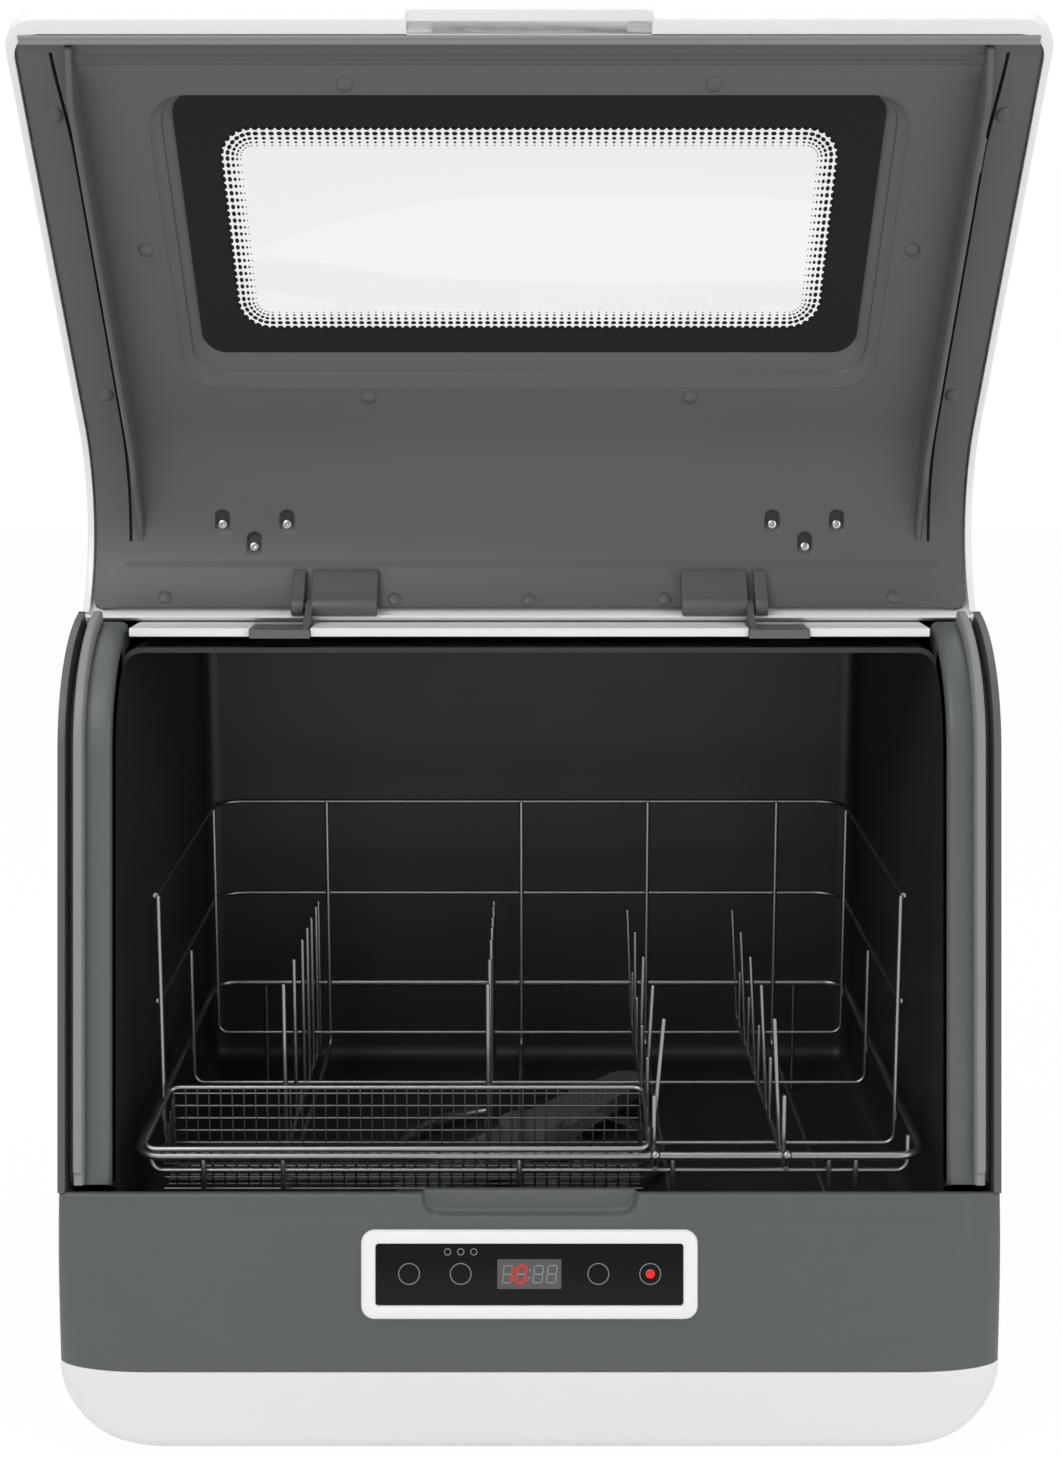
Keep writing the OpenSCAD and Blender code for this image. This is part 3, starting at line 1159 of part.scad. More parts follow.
// A flat net of w by h in the XY plane
module net(w, h) {
    nx = floor((w - mesh_t) / mesh_pitch);
    ny = max(1, floor((h - mesh_t) / mesh_pitch));
    px = (w - mesh_t) / nx;
    py = (h - mesh_t) / ny;
    linear_extrude(mesh_t) difference() {
        square([w, h]);
        for (i = [0:nx - 1], j = [0:ny - 1]) translate([mesh_t + i * px, mesh_t + j * py])
            square([px - mesh_t, py - mesh_t]);
    }
}
module basket_mesh() {
    color("lightgray") place() {
        translate([basket_x0, basket_front_y, basket_z]) net(basket_w, basket_d);
        translate([basket_x0, basket_front_y + mesh_t, basket_z]) rotate([90, 0, 0])
            net(basket_w, flange_z + mesh_t - basket_z);
        translate([basket_x0, basket_front_y + mesh_t - flange_d, flange_z]) net(basket_w, flange_d);
        translate([basket_x0, basket_back_y, basket_z]) rotate([90, 0, 0]) net(basket_w,
            basket_back_z - basket_z);
        for (x = [basket_x0, basket_x1 - mesh_t]) translate([x, basket_front_y, basket_z]) rotate([90, 0,
            90])
            net(basket_d, flange_z + mesh_t - basket_z);
    }
}
module basket_rim() {
    front_wire_y = basket_front_y + mesh_t - flange_d - wire_r + 0.2;
    front_wire_z = flange_z + mesh_t / 2 + 1;
    back_wire_y = basket_back_y + wire_r - 0.2;
    color(steel) place() sweep(bend_loop([[basket_x0 - 8, front_wire_y, front_wire_z],
        [basket_x0 - 1, back_wire_y, basket_back_z], [basket_x1 + 1.6, back_wire_y, basket_back_z],
        [basket_x1 + 2, front_wire_y, front_wire_z]], 5, 3), wire_r, closed = true);
}

base_tray();
rubber_feet();
lower_housing();
side_panel_left();
side_panel_right();
rear_panel();
top_cover();
tub();
opening_frame_left();
opening_frame_right();
side_seals();
control_frame();
touch_plate();
display_module();
power_lamp();
touch_board();
main_board();
sump();
filter_plate();
filter_basket();
feed_pipe();
spray_arm();
heater();
wash_pump_housing();
wash_pump_motor();
wash_impeller();
drain_pump_housing();
drain_pump_motor();
drain_impeller();
drain_hose();
drain_outlet();
inlet_valve();
water_tank();
fill_cap();
fan_housing();
fan_wheel();
power_inlet();
case_screws();
hinge_brackets();
hinge_pins();
friction_washers();
lid_shell();
lid_inner_panel();
window_glass();
lid_seal();
lid_hinge_arms();
hinge_covers();
hinge_screws();
lid_plugs();
lid_magnet();
reed_switch();
rack_rings();
rack_cross_wires();
rack_long_wires();
rack_tines_left();
rack_tines_right();
basket_mesh();
basket_rim();
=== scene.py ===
"""The look of a countertop dishwasher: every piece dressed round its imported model.

Lengths are millimetres in the body's own axes: X across, Y back from the front panel's
top edge, Z up from the table. place() turns them into the frame's metres.
"""
from __future__ import annotations

import logging
import math
from dataclasses import dataclass
from enum import Enum
from typing import Callable, Sequence

import bmesh
import bpy
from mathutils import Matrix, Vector

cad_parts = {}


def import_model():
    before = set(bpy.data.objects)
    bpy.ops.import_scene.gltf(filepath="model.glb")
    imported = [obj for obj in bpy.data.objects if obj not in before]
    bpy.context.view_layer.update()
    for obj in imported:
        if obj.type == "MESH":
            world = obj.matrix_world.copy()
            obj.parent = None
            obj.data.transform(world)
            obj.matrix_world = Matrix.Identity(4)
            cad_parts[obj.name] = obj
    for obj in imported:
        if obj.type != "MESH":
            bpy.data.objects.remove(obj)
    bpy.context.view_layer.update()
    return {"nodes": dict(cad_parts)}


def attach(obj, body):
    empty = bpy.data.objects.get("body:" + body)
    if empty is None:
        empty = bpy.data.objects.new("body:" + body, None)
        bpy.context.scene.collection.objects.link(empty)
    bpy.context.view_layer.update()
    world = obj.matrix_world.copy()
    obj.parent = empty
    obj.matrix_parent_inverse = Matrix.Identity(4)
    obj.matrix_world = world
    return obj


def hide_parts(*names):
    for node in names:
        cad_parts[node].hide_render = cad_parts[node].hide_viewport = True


LOG = logging.getLogger("dishwasher")
MM = 0.001

Point = tuple[float, float, float]
Flat = tuple[float, float]
At = Callable[[float, float, float], Vector]
Tree = bpy.types.NodeTree
Socket = bpy.types.NodeSocket
Inputs = dict[str | int, object]
WHITE = (1.0, 1.0, 1.0, 1.0)


# ---- sizes ----------------------------------------------------------------------------
@dataclass(frozen=True)
class BodySizes:
    """Driving sizes of the cabinet, in millimetres."""

    width: float = 420.0
    depth: float = 366.0
    front: float = 118.0
    side: float = 370.0
    base: float = 39.5
    rake: float = 9.3
    brow: float = 68.0
    wall: float = 3.0
    corner: Flat = (42.0, 15.0)
    corner_top: float = 4.0
    flare: float = 1.7
    panel: float = 3.2
    middle: float = 180.583
    hinge: float = 94.0
    tub_half: float = 187.0
    tub_wall: float = 2.4
    tub_floor: float = 80.0
    tub_back: float = 300.0
    tub_front: float = 9.0
    tub_radius: float = 10.0


@dataclass(frozen=True)
class LidSizes:
    """Driving sizes of the lid, in millimetres."""

    angle: float = 134.5
    depth: float = 11.0
    root: float = 6.0
    # room that the hinge end turns in: behind it and under it
    room: Flat = (0.9, 0.7)
    taper: float = 60.0
    gap: float = 0.9
    overhang: float = 2.5
    corner: float = 14.0
    lip_reach: float = 4.0
    lip_width: float = 99.0
    glass: Flat = (296.0, 130.0)
    glass_from: float = 31.0
    glass_s: float = 6.9
    glass_thick: float = 2.0


BODY = BodySizes()
LID = LidSizes()


class Rim:
    """The side profile that the lid closes on: a raked line that rounds over into the top."""

    def __init__(self, body: BodySizes, lid: LidSizes) -> None:
        """Works the profile out of the driving sizes.

        Args:
            body: Sizes of the cabinet.
            lid: Sizes of the lid.
        """
        rake = math.radians(body.rake)
        self.body, self.cover, self.rake = body, lid, rake
        self.brow_z = body.side - body.brow
        self.brow_y = (self.brow_z - body.front) * math.tan(rake) + body.brow / math.cos(rake)
        self.flat = (self.brow_z + body.brow * math.sin(rake) - body.front) / math.cos(rake)
        tilt = math.asin((self.brow_y - body.hinge) / body.brow)
        self.length = self.flat + (math.pi / 2 - rake - tilt) * body.brow
        self.hinge = self.point(self.length)
        self.roll = (math.pi / 2 + tilt) * lid.root

    def direction(self, t: float) -> float:
        """Angle of the rim above level at a distance t along it, in radians."""
        bent = max(0.0, t - self.flat)
        return math.pi / 2 - self.rake - bent / self.body.brow

    def point(self, t: float, s: float = 0.0) -> Flat:
        """A point at t along the rim and s outside it.

        Args:
            t: Distance from the free edge.
            s: Distance outward.

        Returns:
            Y and Z of the point.
        """
        if t <= self.flat:
            c, n = math.cos(self.rake), math.sin(self.rake)
            return t * n - s * c, self.body.front + t * c + s * n
        a = self.direction(t)
        r = self.body.brow + s
        return self.brow_y - r * math.sin(a), self.brow_z + r * math.cos(a)

    def face(self, t: float) -> float:
        """Height of the lid's outer face above the rim."""
        near = max(0.0, min(1.0, 1 - (self.length - t) / self.cover.taper))
        return self.cover.depth - (self.cover.depth - self.cover.root) * near

    def opened(self, y: float, z: float) -> Flat:
        """Turns a point of the shut lid to where it lies with the lid open.

        Args:
            y: Y with the lid shut.
            z: Z with the lid shut.

        Returns:
            Y and Z with the lid open.
        """
        a = math.radians(self.cover.angle)
        dy, dz = y - self.hinge[0], z - self.hinge[1]
        return (self.hinge[0] + dy * math.cos(a) + dz * math.sin(a),
                self.hinge[1] + dz * math.cos(a) - dy * math.sin(a))

    def lid(self, x: float, t: float, s: float) -> Vector:
        """A point of the open lid; past the hinge t wraps round the hinge's axis."""
        return place(x, *self.opened(*self.wrapped(t, s)))

    def wrapped(self, t: float, s: float) -> Flat:
        """A point beside the rim that turns about the hinge once t has passed it.

        Args:
            t: Distance along the rim.
            s: Distance outward.

        Returns:
            Y and Z with the lid shut.
        """
        past = t - self.length
        if past <= 0:
            return self.point(t, s)
        a = self.direction(self.length) + math.pi / 2 - past / self.cover.root
        return self.hinge[0] + s * math.cos(a), self.hinge[1] + s * math.sin(a)


def place(x: float, y: float, z: float) -> Vector:
    """Turns body millimetres into a point of the frame."""
    return Vector((x * MM, (y - BODY.middle) * MM, z * MM))


def level_at(x: float, y: float, z: float) -> At:
    """A plane that lies level, its heights upward."""
    return lambda a, b, h: place(x + a, y + b, z + h)


def rear_at(x: float, y: float, z: float) -> At:
    """A plane that stands upright, its heights towards the back."""
    return lambda a, b, h: place(x + a, y + h, z + b)


# ---- numbers ---------------------------------------------------------------------------
def smooth(f: float) -> float:
    """Eases 0..1."""
    f = max(0.0, min(1.0, f))
    return f * f * (3 - 2 * f)


def ramp(v: float, low: float, high: float) -> float:
    """Eased share of the way from low to high."""
    return smooth((v - low) / (high - low))


def stations(stops: Sequence[tuple[float, float]]) -> list[float]:
    """Places along a line whose spacing changes.

    Args:
        stops: Pairs of a place and the spacing that leads up to it; the first starts the line.

    Returns:
        The places in order.
    """
    out = [stops[0][0]]
    for (a, _), (b, step) in zip(stops, stops[1:]):
        n = max(1, round((b - a) / step))
        out += [a + (b - a) * i / n for i in range(1, n + 1)]
    return out


def mirrored(values: Sequence[float]) -> list[float]:
    """Repeats a rising list of positive places on the other side of zero."""
    return [-v for v in reversed(values) if v > 0] + list(values)


def arc(centre: Flat, radius: float, start: float, end: float, steps: int = 8) -> list[Flat]:
    """Points of an arc."""
    angles = [math.radians(start + (end - start) * i / steps) for i in range(steps + 1)]
    return [(centre[0] + radius * math.cos(a), centre[1] + radius * math.sin(a)) for a in angles]


def round_rect(w: float, h: float, r: float, steps: int = 8) -> list[Flat]:
    """A rounded rectangle round the origin, anticlockwise.

    Args:
        w: Width.
        h: Height.
        r: Corner radius.
        steps: Steps in each corner.

    Returns:
        The points.
    """
    x, y = w / 2 - r, h / 2 - r
    return (arc((x, y), r, 0, 90, steps) + arc((-x, y), r, 90, 180, steps)
            + arc((-x, -y), r, 180, 270, steps) + arc((x, -y), r, 270, 360, steps))


def box_distance(x: float, y: float, w: float, h: float, r: float) -> float:
    """Distance outside a rounded rectangle round the origin, negative inside."""
    qx, qy = abs(x) - w / 2 + r, abs(y) - h / 2 + r
    return math.hypot(max(qx, 0.0), max(qy, 0.0)) + min(max(qx, qy), 0.0) - r


def bent(path: Sequence[Vector], radius: float, steps: int = 6,
         closed: bool = False) -> list[Vector]:
    """A path whose corners are bent round.

    Args:
        path: Its corners.
        radius: Radius of each bend.
        steps: Steps in each bend.
        closed: Whether the path joins up.

    Returns:
        The bent path.
    """
    n = len(path)
    out: list[Vector] = [] if closed else [path[0]]
    for i in range(n) if closed else range(1, n - 1):
        a = (path[i - 1] - path[i]).normalized()
        b = (path[(i + 1) % n] - path[i]).normalized()
        half = a.angle(b) / 2
        centre = path[i] + (a + b).normalized() * (radius / math.sin(half))
        u = (path[i] + a * (radius / math.tan(half)) - centre).normalized()
        v = (-a - u * (-a).dot(u)).normalized()
        turn = math.pi - 2 * half
        for k in range(steps + 1):
            w = turn * k / steps
            out.append(centre + radius * (u * math.cos(w) + v * math.sin(w)))
    if not closed:
        out.append(path[-1])
    return out


# ---- materials -------------------------------------------------------------------------
def linear(code: str) -> tuple[float, float, float, float]:
    """Turns an sRGB hex colour to linear values.

    Args:
        code: Such as "#E0E1E3".

    Returns:
        Red, green, blue and alpha.
    """
    parts = [int(code[i:i + 2], 16) / 255 for i in (1, 3, 5)]
    lin = [c / 12.92 if c <= 0.04045 else ((c + 0.055) / 1.055) ** 2.4 for c in parts]
    return lin[0], lin[1], lin[2], 1.0


def put(tree: Tree, kind: str, inputs: Inputs | None = None, **settings: object) -> bpy.types.Node:
    """Adds a node with its settings and links.

    Args:
        tree: The node tree.
        kind: The node's type.
        inputs: Values or sockets for its inputs, by name or number.
        **settings: Properties of the node.

    Returns:
        The node.
    """
    node = tree.nodes.new(kind)
    for name, value in settings.items():
        setattr(node, name, value)
    for key, value in (inputs or {}).items():
        if isinstance(value, Socket):
            tree.links.new(value, node.inputs[key])
        else:
            node.inputs[key].default_value = value
    return node


def noise(tree: Tree, where: Socket, size: float, detail: float = 2.0,
          rough: float = 0.5) -> Socket:
    """Adds a noise pattern."""
    settings = {"Vector": where, "Scale": 1 / (size * MM), "Detail": detail, "Roughness": rough}
    return put(tree, "ShaderNodeTexNoise", settings).outputs["Fac"]


def between(tree: Tree, share: Socket, low: float, high: float) -> Socket:
    """Maps a share to a range."""
    settings = {"Value": share, "To Min": low, "To Max": high}
    return put(tree, "ShaderNodeMapRange", settings).outputs["Result"]


def relief_of(tree: Tree, height: Socket, depth: float) -> Socket:
    """Turns a pattern into a fine relief."""
    settings = {"Height": height, "Strength": 1.0, "Distance": depth * MM}
    return put(tree, "ShaderNodeBump", settings).outputs["Normal"]


def shade(code: str, factor: float) -> tuple[float, ...]:
    """A colour made lighter or darker."""
    return tuple(min(1.0, c * factor) for c in linear(code)[:3]) + (1.0,)


def blend(tree: Tree, share: Socket, low: Sequence[float], high: Sequence[float]) -> Socket:
    """Mixes two colours."""
    return put(tree, "ShaderNodeMix", {0: share, 6: low, 7: high}, data_type="RGBA").outputs[2]


def blank(name: str) -> tuple[bpy.types.Material, Tree, Socket]:
    """Starts an empty material.

    Args:
        name: Its name.

    Returns:
        The material, its tree and the place on the object, in metres.
    """
    material = bpy.data.materials.new(name)
    material.use_nodes = True
    tree = material.node_tree
    tree.nodes.clear()
    return material, tree, put(tree, "ShaderNodeTexCoord").outputs["Object"]


def covered(material: bpy.types.Material, inputs: Inputs) -> bpy.types.Material:
    """Ends a material with its surface.

    Args:
        material: The material.
        inputs: Inputs of its surface shader.

    Returns:
        The material.
    """
    tree = material.node_tree
    shader = put(tree, "ShaderNodeBsdfPrincipled", inputs)
    put(tree, "ShaderNodeOutputMaterial", {"Surface": shader.outputs["BSDF"]})
    return material


@dataclass(frozen=True)
class MouldedPlastic:
    """Injection moulded plastic: a fine spark-eroded grain over slow, faint colour drift."""

    name: str
    colour: str
    roughness: float = 0.45
    grain: float = 0.7
    relief: float = 0.012
    drift: float = 0.04
    coat: float = 0.0
    transmission: float = 0.0
    ior: float = 1.5
    drift_size: float = 60.0

    def make(self) -> bpy.types.Material:
        """Builds the material, its grain sized in millimetres.

        Returns:
            The material.
        """
        material, tree, where = blank(self.name)
        drift = noise(tree, where, self.drift_size, 3.0)
        grain = noise(tree, where, self.grain, 2.0, 0.6)
        return covered(material, {
            "Base Color": blend(tree, drift, shade(self.colour, 1 - self.drift),
                                shade(self.colour, 1 + self.drift)),
            "Roughness": between(tree, drift, self.roughness * 0.92, self.roughness * 1.08),
            "IOR": self.ior, "Coat Weight": self.coat, "Coat Roughness": 0.12,
            "Transmission Weight": self.transmission,
            "Normal": relief_of(tree, grain, self.relief)})


@dataclass(frozen=True)
class Metal:
    """Drawn, turned or pressed metal: bright, with fine tool lines that break the shine."""

    name: str
    colour: str
    roughness: float = 0.2
    lines: float = 0.35
    relief: float = 0.004
    along: Point = (1.0, 1.0, 1.0)
    cloud: float = 18.0

    def make(self) -> bpy.types.Material:
        """Builds the material; the lines run where the stretch is below one.

        Returns:
            The material.
        """
        material, tree, where = blank(self.name)
        scaled = put(tree, "ShaderNodeMapping", {"Vector": where, "Scale": self.along})
        lines = noise(tree, scaled.outputs["Vector"], self.lines, 3.0)
        cloud = noise(tree, where, self.cloud)
        return covered(material, {
            "Base Color": linear(self.colour), "Metallic": 1.0,
            "Roughness": between(tree, cloud, self.roughness * 0.75, self.roughness * 1.25),
            "Normal": relief_of(tree, lines, self.relief)})


@dataclass(frozen=True)
class Elastomer:
    """Moulded rubber or soft seal lip: matt, with a dusty sheen at grazing angles."""

    name: str
    colour: str
    roughness: float = 0.6
    grain: float = 1.2
    relief: float = 0.02

    def make(self) -> bpy.types.Material:
        """Builds the material.

        Returns:
            The material.
        """
        material, tree, where = blank(self.name)
        skin = noise(tree, where, self.grain, 4.0)
        return covered(material, {
            "Base Color": blend(tree, skin, shade(self.colour, 0.93), linear(self.colour)),
            "Roughness": self.roughness, "Sheen Weight": 0.15, "Sheen Roughness": 0.4,
            "Normal": relief_of(tree, skin, self.relief)})


@dataclass(frozen=True)
class SodaGlass:
    """Toughened float glass, clear and polished flat, with faint clouds of wiping haze."""

    name: str
    colour: str = "#F3F3F3"
    haze: float = 0.03
    cloud: float = 90.0

    def make(self) -> bpy.types.Material:
        """Builds the material.

        Returns:
            The material.
        """
        material, tree, where = blank(self.name)
        cloud = noise(tree, where, self.cloud, 0.0)
        return covered(material, {
            "Base Color": linear(self.colour), "Roughness": between(tree, cloud, 0.0, self.haze),
            "IOR": 1.5, "Transmission Weight": 1.0})


@dataclass(frozen=True)
class Glowing:
    """A lit lamp or display bar behind tinted plastic."""

    name: str
    colour: str
    strength: float = 1.0
    grain: float = 1.5

    def make(self) -> bpy.types.Material:
        """Builds the material.

        Returns:
            The material.
        """
        material, tree, where = blank(self.name)
        return covered(material, {
            "Base Color": linear(self.colour),
            "Roughness": between(tree, noise(tree, where, self.grain), 0.25, 0.4),
            "Emission Color": linear(self.colour), "Emission Strength": self.strength})


@dataclass(frozen=True)
class Backdrop:
    """A seamless white sweep, evenly lit, that shows white in glass and metal."""

    name: str
    colour: str = "#F4F4F4"
    glow: float = 0.97

    def make(self) -> bpy.types.Material:
        """Builds the material.

        Returns:
            The material.
        """
        material, tree, _ = blank(self.name)
        path = put(tree, "ShaderNodeLightPath").outputs
        gloss = put(tree, "ShaderNodeMath", {0: path["Is Camera Ray"], 1: path["Is Glossy Ray"]},
                    operation="ADD")
        seen = put(tree, "ShaderNodeMath", {0: gloss.outputs[0], 1: path["Is Transmission Ray"]},
                   operation="ADD", use_clamp=True)
        share = put(tree, "ShaderNodeMath", {0: seen.outputs[0], 1: self.glow},
                    operation="MULTIPLY")
        paint = put(tree, "ShaderNodeBsdfDiffuse", {"Color": linear(self.colour)})
        white = put(tree, "ShaderNodeEmission", {"Color": WHITE, "Strength": 1.0})
        mixed = put(tree, "ShaderNodeMixShader", {0: share.outputs[0], 1: paint.outputs[0],
                                                  2: white.outputs[0]})
        put(tree, "ShaderNodeOutputMaterial", {"Surface": mixed.outputs[0]})
        return material


class Stuff(Enum):
    """Every finish on the object."""

    # glossy white ABS of the lid and base: bright, soft-edged highlights
    WHITE_ABS = MouldedPlastic("white ABS, polished mould", "#E9E9EA", 0.3, 0.9, 0.006, 0.015, 0.1)
    # fine-textured grey ABS of the casing: satin, even
    GREY_ABS = MouldedPlastic("grey ABS, fine texture", "#565A5B", 0.46, 0.8, 0.014, 0.03)
    # darker grey liner of the lid, a coarser spark texture
    LINER = MouldedPlastic("grey polypropylene lid liner", "#545658", 0.45, 0.9, 0.02, 0.04)
    # near-black tub: satin wet-looking walls
    TUB = MouldedPlastic("charcoal polypropylene tub", "#2A2B2C", 0.42, 1.2, 0.02, 0.06)
    # mid grey frames round the mouth
    FRAME = MouldedPlastic("grey polypropylene frame", "#5C6061", 0.42, 0.8, 0.012, 0.03)
    # white surround of the touch panel
    PANEL_WHITE = MouldedPlastic("white ABS surround", "#F2F2F2", 0.35, 0.9, 0.004, 0.01, 0.05)
    # black acrylic touch plate, polished
    TOUCH = MouldedPlastic("black acrylic, polished", "#131414", 0.2, 1.5, 0.002, 0.03, ior=1.25)
    # display window, smoky grey
    DISPLAY = MouldedPlastic("smoked acrylic display", "#5A5D5B", 0.3, 1.0, 0.004, 0.03, ior=1.3)
    # unlit bars and rings of the display, a paler print
    PRINT = MouldedPlastic("pale grey screen print", "#8E9090", 0.4, 0.6, 0.002, 0.02)
    # fired enamel border on the glass: deep black with a gloss
    ENAMEL = MouldedPlastic("black ceramic print on glass", "#0C0D0D", 0.22, 2.0, 0.002, 0.02,
                            ior=1.3)
    # other internal plastics
    BLACK_PP = MouldedPlastic("black polypropylene", "#2E3031", 0.48, 1.0, 0.015, 0.05)
    ARM = MouldedPlastic("grey polypropylene spray arm", "#5C5F60", 0.4, 1.0, 0.01, 0.04)
    TANK = MouldedPlastic("milky polypropylene tank", "#D9DCDD", 0.4, 1.4, 0.02, 0.03,
                          transmission=0.35)
    POM = MouldedPlastic("ivory acetal", "#E7E0CC", 0.35, 1.0, 0.008, 0.02)
    BOARD = MouldedPlastic("green solder mask on a circuit board", "#1F5A3A", 0.35, 0.5, 0.01, 0.1)
    # seals and rubber
    SEAL = Elastomer("light grey seal lip", "#878B8A", 0.5)
    RUBBER = Elastomer("black rubber", "#262626", 0.7)
    # drawn stainless wire, electropolished: mid grey with a thin light line
    WIRE = Metal("stainless wire, electropolished", "#A8A8A6", 0.34, 0.5, 0.003)
    # hinge arms of pressed steel with a black coating
    DARK_STEEL = MouldedPlastic("black coated steel", "#242526", 0.42, 1.2, 0.01, 0.02)
    # fine welded mesh, duller than the thick wire; its darker grey colour is painted shade
    MESH = Metal("stainless mesh, dull, with painted shade", "#6A6A68", 0.42, 0.4, 0.004)
    STEEL = Metal("stainless sheet, brushed", "#C2C3C2", 0.28, 0.3, 0.006, (0.05, 1.0, 1.0))
    ZINC = Metal("zinc plated steel", "#BFC1C2", 0.3, 0.8, 0.01)
    CAN = Metal("galvanised motor can", "#8E9193", 0.38, 1.2, 0.012)
    BRONZE = Metal("sintered bronze", "#A9793F", 0.4, 0.5, 0.02)
    GLASS = SodaGlass("toughened glass")
    LAMP = Glowing("red lamp lens", "#C80A0E", 0.5)
    LIT = Glowing("lit display bar", "#B41C20", 0.5)
    BACKDROP = Backdrop("white studio sweep")


class Finishes:
    """Makes each material once and hands it out."""

    _made: dict[Stuff, bpy.types.Material] = {}

    @classmethod
    def of(cls, stuff: Stuff) -> bpy.types.Material:
        """Finds or makes a material.

        Args:
            stuff: Which finish.

        Returns:
            Its material.
        """
        if stuff not in cls._made:
            cls._made[stuff] = stuff.value.make()
        return cls._made[stuff]


